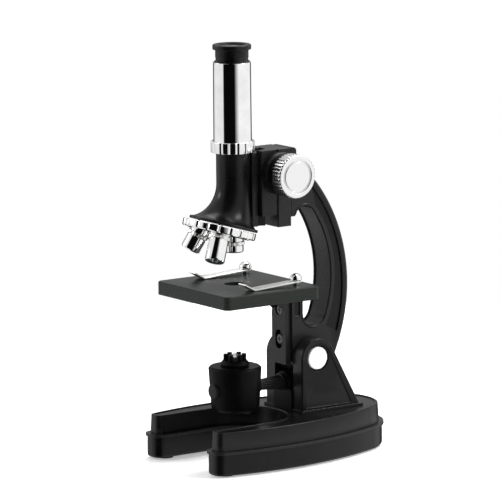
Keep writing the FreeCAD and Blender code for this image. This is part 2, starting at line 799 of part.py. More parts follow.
def make_base_cover():
    body = new_body("base_cover")
    low = s.tray_height
    height = s.base_height - low
    pad(body, "XY_Plane", low, height, [base_outline(s.cover_inset)], taper=-s.cover_draft)
    ease(body, 0.5, lambda edge: flat_at(edge, "Z", s.base_height))
    hollow = base_outline(s.cover_inset + s.cover_wall)
    pocket(body, "XY_Plane", low, s.roof - low, [hollow], along=True)
    panel = base_outline(s.cover_inset + s.top_rim + 0.6)
    pocket(body, "XY_Plane", s.base_height, s.top_recess, [panel])
    foot = s.tray_floor + s.seat_gap / 2
    bosses = with_radius(screw_spots(), s.boss_radius)
    pad(body, "XY_Plane", foot, s.roof - foot + 0.2, (), bosses)
    pilot = with_radius(screw_spots(), s.case_screw_radius)
    pocket(body, "XY_Plane", foot, s.roof - foot - 1, (), pilot, along=True)
    door_top = s.foot_height + s.door_thick + 2 * s.seat_gap
    spot = with_radius([door_screw_spot()], s.frame_screw_radius + 0.55)
    pad(body, "XY_Plane", door_top, s.roof - door_top + 0.2, (), spot)
    spot = with_radius([door_screw_spot()], s.frame_screw_radius)
    pocket(body, "XY_Plane", door_top, s.roof - door_top - 1, (), spot, along=True)
    holes = with_radius(frame_screw_spots(), s.frame_screw_radius + s.seat_gap)
    pocket(body, "XY_Plane", s.seat, s.base_wall, (), holes)
    return body


def make_rubber_feet():
    feet = []
    height = s.foot_height + s.foot_pocket - s.seat_gap
    for number, (x, y) in enumerate(foot_spots(), 1):
        feet.append(cylinder(f"rubber_foot_{number}", s.foot_radius, height, move(x, y, 0)))
    return group("rubber_feet", feet)


def make_base_screws():
    height = s.foot_height + s.case_head_depth
    poses = [move(x, y, height) * DOWNWARD_HEAD for x, y in screw_spots()]
    head = s.case_head_depth - s.seat_gap
    return screw_group("base_screws", poses, s.case_head_radius, head, s.case_screw_radius, 5.0)


def make_frame_screws():
    poses = [move(x, y, s.roof) * DOWNWARD_HEAD for x, y in frame_screw_spots()]
    x, y = door_screw_spot()
    poses.append(move(x, y, s.foot_height + s.frame_head_thick + s.seat_gap) * DOWNWARD_HEAD)
    return screw_group("frame_screws", poses, s.frame_head_radius, s.frame_head_thick,
                       s.frame_screw_radius, s.frame_screw_reach)


def make_battery_door():
    body = new_body("battery_door")
    bottom = s.foot_height
    pad(body, "XY_Plane", bottom, s.door_thick, [door_outline(s.seat_gap)])
    spot = with_radius([door_screw_spot()], s.frame_head_radius + s.seat_gap)
    pocket(body, "XY_Plane", bottom, s.frame_head_thick + s.seat_gap, (), spot, along=True)
    spot = with_radius([door_screw_spot()], s.frame_screw_radius + s.seat_gap)
    pocket(body, "XY_Plane", bottom, s.door_thick, (), spot, along=True)
    grooves = []
    for step in range(5):
        place = s.door_front + s.door_depth - 4 - 2 * step
        grooves.append(rectangle(0, place, 16, 0.8))
    pocket(body, "XY_Plane", bottom, 0.4, grooves, along=True)
    return body


def make_batteries():
    height = s.tray_floor + s.cell_radius + 2 * s.seat_gap
    button = 1.0
    cells = []
    for side in (-1, 1):
        place = s.cell_place + side * (s.cell_radius + 2 * s.seat_gap)
        can = cylinder(f"cell_can_{side + 2}", s.cell_radius, s.cell_length - button)
        tip = cylinder(f"cell_tip_{side + 2}", 2.6, button, move(z=s.cell_length - button))
        cell = fuse(f"cell_{side + 2}", [can, tip])
        start = -side * s.cell_length / 2
        cells.append(put(cell, move(start, place, height) * turn(Y_AXIS, 90 * side)))
    return group("batteries", cells)


def make_battery_contacts():
    height = s.tray_floor + 1.5
    across = 10.0
    plates = []
    for side in (-1, 1):
        x = side * (s.cell_length / 2 + 0.5)
        for row in (-1, 1):
            y = s.cell_place + row * (s.cell_radius + 0.2) - across / 2
            name = f"contact_{side + 2}_{row + 2}"
            plates.append(block(name, 0.4, across, 12.0, x, y, height))
    return group("battery_contacts", plates)


# ---------------------------------------------------------------- uprights and pivot

def upright_outline(inset):
    """Side view of an upright, (y, z): round top over the pivot, long slope to the rear."""
    radius = s.upright_round - inset
    foot = s.seat + inset
    dy = s.upright_back - s.pivot_place
    dz = s.seat - s.pivot_height
    span = length_of(dy, dz)
    lean = s.upright_round / span
    rise = root(1 - lean * lean)
    touch_y = lean * dy / span - rise * dz / span
    touch_z = lean * dz / span + rise * dy / span
    back = s.upright_back - inset * 1.6 - (foot - s.seat) * 0.6
    return [
        (s.pivot_place - radius, foot),
        (back, foot),
        (s.pivot_place + radius * touch_y, s.pivot_height + radius * touch_z),
        (s.pivot_place, s.pivot_height + radius, radius),
        (s.pivot_place - radius, s.pivot_height, radius),
    ]


def make_upright(label, side):
    body = new_body(label)
    inner = s.upright_gap / 2
    outer = inner + s.upright_thick
    at = inner if side > 0 else -outer
    face = side * outer
    pad(body, "YZ_Plane", at, s.upright_thick, [upright_outline(as_size(0))])
    ease(body, 0.7, lambda edge: flat_at(edge, "X", face) and edge.BoundBox.ZMax > s.seat.number + 1)
    front = s.pivot_place - s.upright_round - s.flange_reach
    depth = s.upright_back - front + s.flange_reach
    middle = front + depth / 2
    width = s.upright_thick + s.flange_reach
    centre = side * (inner + width / 2)
    flange = rectangle(centre, middle, width, depth)
    pad(body, "XY_Plane", s.seat, s.flange_height, [flange])
    panel = upright_outline(s.upright_rim + s.flange_height * 0.4)
    away = side < 0
    pocket(body, "YZ_Plane", face, s.panel_depth, [panel], along=away)
    pivot = (s.pivot_place, s.pivot_height)
    pocket(body, "YZ_Plane", face, s.cap_recess + s.panel_depth, (),
           [(*pivot, s.cap_recess_radius)], along=away)
    pocket(body, "YZ_Plane", face, s.cap_recess + s.panel_depth + s.bolt_head_thick + 0.6, (),
           [(*pivot, s.bolt_head_radius + s.seat_gap)], along=away)
    pocket(body, "YZ_Plane", face, s.upright_thick, (),
           [(*pivot, s.bolt_radius + s.running_gap)], along=away)
    spots = [spot for spot in frame_screw_spots() if spot[0].number * side > inner.number]
    holes = with_radius(spots, s.frame_screw_radius + s.seat_gap / 2)
    depth = s.frame_screw_reach - s.base_wall + s.free_gap
    pocket(body, "XY_Plane", s.seat, depth, (), holes, along=True)
    return body


def pivot_pose(x):
    return move(x, s.pivot_place, s.pivot_height) * turn(Y_AXIS, 90)


def make_pivot():
    outer = s.upright_gap / 2 + s.upright_thick
    seat = outer - s.cap_recess - s.panel_depth - s.bolt_head_thick - 0.6
    reach = seat + s.bolt_head_thick
    turned("pivot_bolt", [
        (0, -reach),
        (s.bolt_head_radius, -reach),
        (s.bolt_head_radius, -seat),
        (s.bolt_radius, -seat),
        (s.bolt_radius, reach),
        (0, reach),
    ], pivot_pose(0))
    nut = new_body("pivot_nut")
    across = s.bolt_head_radius
    corners = [(across * math.cos(math.radians(60 * n)), across * math.sin(math.radians(60 * n)))
               for n in range(6)]
    pad(nut, "XY_Plane", 0, s.bolt_head_thick, [corners], [(0, 0, s.bolt_radius)])
    put(nut, pivot_pose(seat))
    washers = []
    thick = (s.upright_gap - s.arm_width) / 2 - 0.06
    for side in (-1, 1):
        low = s.arm_width / 2 + 0.03 if side > 0 else -s.upright_gap / 2 + 0.03
        outside = cylinder(f"washer_rim_{side + 2}", 7, thick)
        inside = cylinder(f"washer_hole_{side + 2}", s.bolt_radius + s.running_gap, thick)
        washers.append(put(cut(f"washer_{side + 2}", outside, inside), pivot_pose(low)))
    group("pivot_washers", washers)
    caps = []
    for side in (-1, 1):
        start = outer - s.panel_depth - s.cap_recess
        cap = cylinder(f"cap_{side + 2}", s.cap_radius, s.cap_thick)
        where = start if side > 0 else -start - s.cap_thick
        caps.append(put(cap, pivot_pose(where)))
    group("pivot_caps", caps)


# ---------------------------------------------------------------- arm

def circle_point(place, height, radius, angle):
    """The point of a circle at an angle from +y towards +z."""
    return (place + radius * cosine(angle), height + radius * sine(angle))


def arm_outline():
    """Side view of the arm, (y, z), from the root's front top and round clockwise."""
    outer = (s.arm_outer_place, s.arm_outer_height, s.arm_outer_radius)
    reach = s.root_back - s.arm_outer_place
    shoulder = s.arm_outer_height + root(s.arm_outer_radius * s.arm_outer_radius - reach * reach)
    low = circle_point(*outer, -27)
    foot = (s.throat_foot_place, s.throat_foot_height)
    top = (s.throat_top_place, s.throat_top_height)
    span = s.arm_inner_radius - s.throat_foot_radius
    foot_dy = (s.throat_foot_place - s.arm_inner_place) / span
    foot_dz = (s.throat_foot_height - s.arm_inner_height) / span
    rise = s.arm_inner_radius - s.throat_top_radius
    top_dy = (s.throat_top_place - s.arm_inner_place) / rise
    top_dz = (s.throat_top_height - s.arm_inner_height) / rise
    hub_front = s.pivot_place - s.hub_radius
    return [
        (s.arm_front, s.head_top),
        (s.root_back - 2, s.head_top),
        (s.root_back, s.head_top - 2, -2),
        (s.root_back, shoulder),
        (*low, -s.arm_outer_radius),
        (*circle_point(s.pivot_place, s.pivot_height, s.hub_radius, -60),),
        (*circle_point(s.pivot_place, s.pivot_height, s.hub_radius, -120), -s.hub_radius),
        (hub_front, s.pivot_height, -s.hub_radius),
        (s.arm_front, s.pivot_height + s.hub_radius),
        (s.arm_front, s.stage_under),
        (foot[0] - s.throat_foot_radius, s.stage_under),
        (foot[0] - s.throat_foot_radius, foot[1]),
        (foot[0], foot[1] - s.throat_foot_radius, s.throat_foot_radius),
        (foot[0] + s.throat_foot_radius * foot_dy, foot[1] + s.throat_foot_radius * foot_dz,
         s.throat_foot_radius),
        (top[0] + s.throat_top_radius * top_dy, top[1] + s.throat_top_radius * top_dz,
         s.arm_inner_radius),
        (top[0], top[1] + s.throat_top_radius, s.throat_top_radius),
        (*circle_point(*top, s.throat_top_radius, 150), s.throat_top_radius),
        (s.root_back - 1, s.arm_root_bottom),
        (s.arm_front, s.arm_root_bottom),
    ]


def arm_panel():
    """The recessed side panel, between the bead of the opening and the outer band."""
    outer = (s.arm_outer_place, s.arm_outer_height, s.arm_outer_radius - s.arm_band)
    inner = (s.arm_inner_place, s.arm_inner_height, s.arm_inner_radius + s.arm_bead)
    return [
        circle_point(*inner, 36),
        circle_point(*outer, 41),
        (*circle_point(*outer, -18), -outer[2]),
        circle_point(*inner, -25),
        (*circle_point(*inner, 36), inner[2]),
    ]


def make_arm():
    body = new_body("arm")
    half = s.arm_width / 2
    pad(body, "YZ_Plane", -half, s.arm_width, [arm_outline()])
    reach = s.arm_outer_radius.number

    def outer_edge(edge):
        curve = getattr(edge, "Curve", None)
        flat = flat_at(edge, "X", half) or flat_at(edge, "X", -half)
        return flat and getattr(curve, "Radius", 0) == reach

    ease(body, 3.0, lambda edge: outer_edge(edge))
    panel = arm_panel()[:-1]
    panel[0] = (*panel[0], s.arm_inner_radius + s.arm_bead)
    pocket(body, "YZ_Plane", half, s.arm_recess, [panel])
    pocket(body, "YZ_Plane", -half, s.arm_recess, [panel], along=True)
    pocket(body, "YZ_Plane", half, s.arm_width, (),
           [(s.pivot_place, s.pivot_height, s.bolt_radius + s.running_gap)])
    plate_holes = [(0, height, s.plate_screw_radius + s.seat_gap / 2)
                   for height in (s.slot_place, s.upper_screw)]
    depth = s.plate_screw_reach - s.bracket_thick + s.slot_depth + s.free_gap
    pocket(body, "XZ_Plane", -s.arm_front, depth, (), plate_holes)
    head_holes = [(side * s.head_screw_x, s.head_top - s.head_screw_drop,
                   s.head_screw_radius + s.seat_gap / 2) for side in (-1, 1)]
    pocket(body, "XZ_Plane", -s.root_back, s.arm_root_depth, (), head_holes, along=True)
    window = rectangle(s.arm_front + 3.4, s.stage_under - 8, 3.2, 10)
    pocket(body, "YZ_Plane", half, 0.6, [window])
    pocket(body, "YZ_Plane", -half, 0.6, [window], along=True)
    return body


def dovetail(front, neck, back, depth):
    """A dovetail seen from above, (x, y), wide at the back."""
    return [
        (-neck / 2, front),
        (neck / 2, front),
        (back / 2, front + depth),
        (-back / 2, front + depth),
    ]


def make_head_screws():
    poses = []
    for side in (-1, 1):
        spot = move(side * s.head_screw_x, s.root_back, s.head_top - s.head_screw_drop)
        poses.append(spot * turn(X_AXIS, -90))
    return screw_group("head_screws", poses, 1.7, 1.0, s.head_screw_radius, s.head_screw_reach)


def make_focus_head():
    body = new_body("focus_head")
    tall = s.head_top - s.head_bottom
    middle = s.rear_block_front + s.head_depth / 2
    pad(body, "XY_Plane", s.head_bottom, tall,
        [rectangle(0, middle, s.head_width, s.head_depth)])
    guide = s.head_top - s.guide_bottom
    middle = s.guide_front + s.guide_depth / 2
    pad(body, "XY_Plane", s.guide_bottom, guide,
        [rectangle(0, middle, s.head_width, s.guide_depth)])
    middle = s.guide_back + s.head_groove / 2
    pad(body, "XY_Plane", s.guide_bottom, guide,
        [rectangle(0, middle, s.head_width - 1.6, s.head_groove)])
    middle = (s.head_back + s.arm_front) / 2
    pad(body, "XY_Plane", s.arm_root_bottom, s.head_top - s.arm_root_bottom - 1,
        [rectangle(0, middle, s.arm_width - 2, s.arm_front - s.head_back)])
    ease(body, 0.5, lambda edge: edge.BoundBox.ZLength > 30 and abs(edge.BoundBox.XMin) > 8.9)
    gap = 2 * s.slide_gap
    front = s.guide_front - 0.02
    channel = dovetail(front, s.dovetail_neck + gap, s.dovetail_back + gap, s.dovetail_depth + gap)
    pocket(body, "XY_Plane", s.head_top, tall, [channel])
    rack_front = front + s.dovetail_depth
    rack_back = s.rack_pitch + 1.2
    way = rectangle(0, (rack_front + rack_back) / 2, s.rack_width + 2 * s.free_gap,
                    rack_back - rack_front)
    pocket(body, "XY_Plane", s.head_top, tall, [way])
    tip = s.pitch_radius + s.tooth_module + s.free_gap
    room = s.pinion_width + 2 * s.free_gap
    pocket(body, "YZ_Plane", room / 2, room, (), [(s.shaft_place, s.shaft_height, tip)])
    pocket(body, "YZ_Plane", s.head_width / 2, s.head_width, (),
           [(s.shaft_place, s.shaft_height, s.shaft_radius + s.running_gap)])
    holes = [(side * s.head_screw_x, s.head_top - s.head_screw_drop,
              s.head_screw_radius + s.seat_gap / 2) for side in (-1, 1)]
    depth = s.head_screw_reach - s.arm_root_depth + s.free_gap
    pocket(body, "XZ_Plane", -s.arm_front, depth, (), holes, along=True)
    return body


def shaft_pose(x):
    return move(x, s.shaft_place, s.shaft_height) * turn(Y_AXIS, 90)


def make_shaft_housings():
    start = s.head_width / 2
    cups = []
    for side in (-1, 1):
        body = turned(f"shaft_housing_{side + 2}", [
            (s.shaft_radius + s.running_gap, 0),
            (s.housing_radius, 0),
            (s.housing_radius, s.housing_length - 1.5),
            (s.housing_radius - 1.5, s.housing_length),
            (s.shaft_radius + s.running_gap, s.housing_length),
        ])
        spot = move(side * start, s.shaft_place, s.shaft_height)
        cups.append(put(body, spot * turn(Y_AXIS, 90 * side)))
    return group("shaft_housings", cups)


def make_focus_drive():
    inner = s.knob_reach - s.knob_thick
    turned("focus_shaft", [
        (0, -s.knob_reach + 1.5),
        (s.shaft_radius, -s.knob_reach + 1.5),
        (s.shaft_radius, s.knob_reach - 1.5),
        (0, s.knob_reach - 1.5),
    ], shaft_pose(0))
    make_pinion()
    for label, side in (("left_focus_knob", -1), ("right_focus_knob", 1)):
        rim = s.knob_radius
        body = turned(label, [
            (s.shaft_radius, -2.2),
            (4.5, -2.2),
            (4.5, 0),
            (rim - 0.6, 0),
            (rim, 0.6),
            (rim, s.knob_thick - 1.0),
            (rim - 1.0, s.knob_thick),
            (rim * 0.80, s.knob_thick),
            (rim * 0.77, s.knob_thick - 0.5),
            (rim * 0.74, s.knob_thick),
            (rim * 0.3, s.knob_thick - 0.35),
            (0, s.knob_thick - 0.35),
            (0, s.knob_thick - 1.5),
            (s.shaft_radius, s.knob_thick - 1.5),
        ])
        doc.recompute()
        bite = pocket(body, "XY_Plane", s.knob_thick, s.knob_thick, (),
                      [(rim + s.knob_flute_radius * 0.35, 0, s.knob_flute_radius)])
        around(body, bite, s.knob_flutes)
        spot = move(side * inner, s.shaft_place, s.shaft_height)
        put(body, spot * turn(Y_AXIS, 90 * side))


def involute(base, angle):
    """A point of the involute of a base circle, unrolled by an angle in radians."""
    x = base * (math.cos(angle) + angle * math.sin(angle))
    y = base * (math.sin(angle) - angle * math.cos(angle))
    return x, y


PRESSURE_ANGLE = math.radians(20)
BACKLASH = 0.16
PINION_ADDENDUM = 0.75
RACK_ADDENDUM = 0.55
DEDENDUM = 1.15
FLANK_STEPS = 6


def pinion_shape():
    """Spur pinion with involute flanks, on the z axis, one gap of the rack straight at -x."""
    teeth = int(s.pinion_teeth.number)
    pitch = s.pitch_radius.number
    module = s.tooth_module.number
    base = pitch * math.cos(PRESSURE_ANGLE)
    tip = pitch + PINION_ADDENDUM * module
    foot = pitch - DEDENDUM * module
    at_pitch = math.tan(PRESSURE_ANGLE) - PRESSURE_ANGLE
    half_tooth = math.pi / (2 * teeth) - BACKLASH / (2 * pitch)
    end = math.sqrt((tip / base) ** 2 - 1)
    outline = []
    for tooth in range(teeth):
        centre = math.pi + 2 * math.pi * tooth / teeth
        flank = [involute(base, end * step / FLANK_STEPS) for step in range(FLANK_STEPS + 1)]
        polar = [(math.hypot(x, y), math.atan2(y, x)) for x, y in flank]
        rising = [(foot, -half_tooth - at_pitch)]
        rising += [(r, a - half_tooth - at_pitch) for r, a in polar]
        falling = [(r, -a) for r, a in reversed(rising)]
        outline += [(r, centre + a) for r, a in rising + falling]
    corners = [FreeCAD.Vector(r * math.cos(a), r * math.sin(a), 0) for r, a in outline]
    face = Part.Face(Part.makePolygon(corners + corners[:1]))
    solid = face.extrude(FreeCAD.Vector(0, 0, s.pinion_width.number))
    bore = Part.makeCylinder(s.shaft_radius.number, s.pinion_width.number)
    return solid.cut(bore)


def make_pinion():
    item = doc.addObject("Part::Feature", "pinion")
    item.Label = "pinion"
    item.Shape = pinion_shape()
    flat = turn(Y_AXIS, 90) * turn(Z_AXIS, 90)
    put(item, move(-s.pinion_width / 2, s.shaft_place, s.shaft_height) * flat)


def rack_shape():
    """Rack with its teeth towards +y and a gap at z = 0, where the pinion's tooth stands."""
    pitch = math.pi * s.tooth_module.number
    line = s.rack_pitch.number
    tip = line + RACK_ADDENDUM * s.tooth_module.number
    foot = line - DEDENDUM * s.tooth_module.number
    back = s.dovetail_rear.number - s.rack_seat.number
    low = s.slide_bottom.number + s.rack_margin.number - s.shaft_height.number
    high = s.slide_top.number - s.rack_margin.number - s.shaft_height.number
    lean = math.tan(PRESSURE_ANGLE)
    half = pitch / 4 - BACKLASH / 2
    first = math.ceil((low + pitch / 2) / pitch - 0.5)
    last = math.floor((high - pitch / 2) / pitch - 0.5)
    outline = [(back, low), (foot, low)]
    for number in range(first, last + 1):
        centre = (number + 0.5) * pitch
        outline.append((foot, centre - half - (line - foot) * lean))
        outline.append((tip, centre - half + (tip - line) * lean))
        outline.append((tip, centre + half - (tip - line) * lean))
        outline.append((foot, centre + half + (line - foot) * lean))
    outline += [(foot, high), (back, high)]
    corners = [FreeCAD.Vector(0, y, z) for y, z in outline]
    face = Part.Face(Part.makePolygon(corners + corners[:1]))
    return face.extrude(FreeCAD.Vector(s.rack_width.number, 0, 0))


def make_rack():
    item = doc.addObject("Part::Feature", "rack")
    item.Label = "rack"
    item.Shape = rack_shape()
    put(item, move(-s.rack_width / 2, 0, s.shaft_height))


def make_slide_rail(tube):
    body = new_body("slide_bar")
    tall = s.slide_top - s.slide_bottom
    front = s.dovetail_front - s.slide_bar_depth - 0.4
    back = s.dovetail_front - 0.4
    pad(body, "XY_Plane", s.slide_bottom, tall,
        [rectangle(0, (front + back) / 2, s.slide_width, s.slide_bar_depth)])
    pad(body, "XY_Plane", s.slide_bottom, tall,
        [rectangle(0, s.dovetail_front - 0.15, s.dovetail_neck, 0.6)])
    shape = dovetail(s.dovetail_front, s.dovetail_neck, s.dovetail_back, s.dovetail_depth)
    pad(body, "XY_Plane", s.slide_bottom, tall, [shape])
    slot = rectangle(0, s.dovetail_rear - s.rack_seat / 2, s.rack_width + 0.02, s.rack_seat)
    pocket(body, "XY_Plane", s.slide_top, tall, [slot])
    return cut("slide_rail", body, tube)


# ---------------------------------------------------------------- tube and eyepiece

FLARE_SECTIONS = 7
FLARE_END = 82.0


def flare_section(number):
    """One ring of the flare: a circle across its front and back points."""
    angle = FLARE_END * number / (FLARE_SECTIONS - 1)
    down = sine(angle)
    out = 1 - cosine(angle)
    lip_front = s.nose_place - s.nose_radius * s.tilt_cosine
    lip_back = s.nose_place + s.nose_radius * s.tilt_cosine
    neck_front = s.axis_place - s.neck_radius
    neck_back = s.axis_place + s.neck_radius
    drop = s.nose_radius * s.tilt_sine
    front_y = neck_front + (lip_front - neck_front) * out
    back_y = neck_back + (lip_back - neck_back) * out * out
    front_z = s.flare_start + (s.nose_height + drop - s.flare_start) * down
    back_z = s.flare_start + (s.nose_height - drop - s.flare_start) * down
    dy = back_y - front_y
    dz = back_z - front_z
    ring = doc.addObject("Part::Circle", f"flare_ring_{number}")
    bind(ring, "Radius", length_of(dy, dz) / 2)
    lean = Size(math.degrees(math.atan2(dz.number, dy.number)),
                f"atan2({dz.formula}; {dy.formula})")
    put(ring, move(0, (front_y + back_y) / 2, (front_z + back_z) / 2) * turn(X_AXIS, lean))
    return ring


def make_body_tube():
    flare = doc.addObject("Part::Loft", "tube_flare")
    flare.Sections = [flare_section(number) for number in range(FLARE_SECTIONS)]
    flare.Solid = True
    neck = cylinder("tube_neck", s.neck_radius, s.neck_top - s.flare_start,
                    move(0, s.axis_place, s.flare_start))
    spigot = cylinder("tube_spigot", s.spigot_radius, s.spigot_length,
                      move(0, s.axis_place, s.neck_top))
    lean = turn(X_AXIS, -s.turret_tilt)
    lip = cylinder("tube_lip", s.nose_radius, s.lip_thick + s.lip_overlap,
                   move(0, s.nose_place, s.nose_height) * lean * move(z=-s.lip_thick))
    solid = fuse("tube_solid", [flare, neck, spigot, lip])
    wide_foot = s.flare_start - 8
    wide = cylinder("tube_wide_bore", s.neck_radius - 1.6, 60, move(0, s.axis_place, wide_foot))
    narrow = cylinder("tube_bore", s.light_bore, 60, move(0, s.axis_place, wide_foot - 40))
    pivot = cylinder("tube_pivot_hole", 1.5, 8, TURRET_POSE * move(z=s.turret_thick / 2))
    seat = cylinder("tube_ball_hole", 0.95, 2.0, TURRET_POSE * move(0, -14, s.turret_thick / 2))
    bores = fuse("tube_bores", [wide, narrow, pivot, seat])
    cut("body_tube", solid, bores)
    return solid


def make_tube_collar():
    foot = s.neck_top + 0.02
    top = s.neck_top + s.collar_height
    body = turned("tube_collar", [
        (s.spigot_radius + s.running_gap, foot),
        (s.collar_radius - 0.4, foot),
        (s.collar_radius, foot + 0.4),
        (s.collar_radius, top - 0.4),
        (s.collar_radius - 0.4, top),
        (s.chrome_radius + s.running_gap, top),
        (s.chrome_radius + s.running_gap, s.neck_top + 0.9),
        (s.spigot_radius + s.running_gap, s.neck_top + 0.9),
    ], OPTICAL_AXIS)
    reach = s.collar_radius + s.collar_flute_radius - s.collar_flute_depth
    bite = pocket(body, "XY_Plane", top, s.collar_height, (), [(reach, 0, s.collar_flute_radius)])
    around(body, bite, s.collar_flutes)
    return body


def make_chrome_tube():
    foot = s.neck_top + 0.92
    step = s.neck_top + s.spigot_length + 1.5
    return turned("chrome_tube", [
        (s.spigot_radius + s.running_gap, foot),
        (s.chrome_radius, foot),
        (s.chrome_radius - s.chrome_draft, s.chrome_top),
        (s.chrome_bore, s.chrome_top),
        (s.chrome_bore, step),
        (s.spigot_radius + s.running_gap, step),
    ], OPTICAL_AXIS)


def make_eyepiece():
    top = s.chrome_top + s.eye_height
    flange = top - s.eye_flange_thick
    neck = s.chrome_top + s.eye_height * 0.26
    foot = s.chrome_top - s.barrel_length
    bore = s.field_lens_radius
    turned("eyepiece_housing", [
        (bore, foot),
        (s.barrel_radius, foot),
        (s.barrel_radius, s.chrome_top + 0.02),
        (s.eye_low_radius, s.chrome_top + 0.02),
        (s.eye_low_radius, s.chrome_top + s.eye_low_height),
        (s.barrel_radius - 0.5, neck),
        (s.eye_neck_radius, neck + 0.6),
        (s.eye_neck_radius, flange - 0.5),
        (s.eye_flange_radius, flange),
        (s.eye_flange_radius, top - 0.6),
        (s.eye_flange_radius - 0.8, top),
        (s.eye_lens_radius + 1.6, top),
        (s.eye_lens_radius - 1.2, top - 1.6),
        (s.eye_lens_radius - 1.2, top - 2.2),
        (s.eye_lens_radius + s.seat_gap, top - 2.2),
        (s.eye_lens_radius + s.seat_gap, neck),
        (bore, neck - 1.5),
    ], OPTICAL_AXIS)
    turned("eye_lens", [
        (0, top - 5.6),
        (s.eye_lens_radius, top - 4.4, 14),
        (s.eye_lens_radius, top - 2.3),
        (0, top - 2.3),
    ], OPTICAL_AXIS)
    turned("field_lens", [
        (0, foot + 0.3),
        (s.field_lens_radius - 0.02, foot + 0.3),
        (s.field_lens_radius - 0.02, foot + 1.5),
        (0.5, foot + 3.3, 16),
        (0, foot + 3.3),
    ], OPTICAL_AXIS)
    middle = foot + s.barrel_length * 0.55
    turned("field_stop", [
        (4.2, middle),
        (bore - 0.02, middle),
        (bore - 0.02, middle + 1.0),
        (4.8, middle + 1.0),
    ], OPTICAL_AXIS)


# ---------------------------------------------------------------- turret

OBJECTIVE_SPINS = (0, 120, 240)


def make_turret_disc():
    half = s.turret_thick / 2
    rim = s.turret_radius
    body = turned("turret_plate", [
        (1.8, -half),
        (rim - 3.4, -half),
        (rim - 2.6, -half + 0.5),
        (rim - 0.5, -half + 0.5),
        (rim, -half + 1.0),
        (rim, half - 0.5),
        (rim - 0.5, half),
        (1.8, half),
    ], TURRET_POSE)
    reach = rim + s.turret_flute_radius - s.turret_flute_depth
    bite = pocket(body, "XY_Plane", half, s.turret_thick, (), [(reach, 0, s.turret_flute_radius)])
    around(body, bite, s.turret_flutes)
    bosses = []
    bores = []
    seat = s.objective_seat
    for spin in OBJECTIVE_SPINS:
        pose = objective_pose(spin)
        bosses.append(cylinder(f"turret_boss_{spin}", s.objective_radius, seat,
                               pose * move(z=-seat)))
        bores.append(cylinder(f"turret_bore_{spin}", s.objective_radius - 2.2, seat + 8,
                              pose * move(z=-seat - 1)))
    solid = fuse("turret_solid", [body] + bosses)
    top = cylinder("turret_top", rim, 6, TURRET_POSE * move(z=half))
    waste = fuse("turret_waste", bores + [top])
    return cut("turret_disc", solid, waste)


def objective_pose(spin):
    ring = turn(Z_AXIS, spin) * move(0, s.objective_circle, 0)
    return TURRET_POSE * ring * turn(X_AXIS, s.turret_tilt)


def make_objective(label, lens_label, spin, length):
    radius = s.objective_radius
    collar = s.objective_seat
    shoulder = -collar - 1.8
    bore = radius - 2.2
    tip = -length
    turned(label, [
        (bore, tip + 1.2),
        (bore - 0.6, tip + 1.2),
        (bore - 0.6, tip + 0.5),
        (radius - 1.2, tip),
        (radius - 0.4, tip),
        (radius, tip + 0.5),
        (radius, shoulder - 0.3),
        (s.collar_reach, shoulder),
        (s.collar_reach, -collar),
        (bore, -collar),
    ], objective_pose(spin))
    turned(lens_label, [
        (0, tip + 1.3),
        (bore - 0.02, tip + 1.3),
        (bore - 0.02, tip + 2.6),
        (0.4, tip + 3.1, 9),
        (0, tip + 3.1),
    ], objective_pose(spin))


def make_turret_screw():
    half = s.turret_thick / 2
    return turned("turret_screw", [
        (0, -half - 2.4),
        (2.6, -half - 1.6, 5),
        (3.4, -half - 0.1),
        (1.8 - 0.05, -half - 0.1),
        (1.8 - 0.05, half + 0.3),
        (1.45, half + 0.3),
        (1.45, half + 7),
        (0, half + 7),
    ], TURRET_POSE)


def make_detent():
    half = s.turret_thick / 2
    spot = TURRET_POSE * move(0, -14.0, half + 0.1)
    ball = sphere("detent_ball", 0.9, spot * move(z=0.9))
    ball.Label = "detent_ball"
    return ball


# ---------------------------------------------------------------- stage

def make_stage():
    body = new_body("stage")
    centre = s.axis_place + s.stage_shift
    pad(body, "XY_Plane", s.stage_under, s.stage_thick,
        [rectangle(0, centre, s.stage_width, s.stage_depth)])
    ease(body, s.stage_round, lambda edge: edge.BoundBox.ZLength > 2)
    ease(body, 0.5, lambda edge: flat_at(edge, "Z", s.stage_height), "Chamfer")
    pocket(body, "XY_Plane", s.stage_height, s.stage_thick, (), [(0, s.axis_place, s.stage_hole)])
    studs = [(side * s.clip_place_x, s.clip_place_y, s.stud_radius + s.running_gap)
             for side in (-1, 1)]
    pocket(body, "XY_Plane", s.stage_height, s.stage_thick, (), studs)
    holes = [(side * s.stage_screw_x, s.shelf_screw_y, s.stage_screw_radius + s.seat_gap / 2)
             for side in (-1, 1)]
    depth = s.stage_screw_reach - s.shelf_thick + s.free_gap
    pocket(body, "XY_Plane", s.stage_under, depth, (), holes, along=True)
    return body


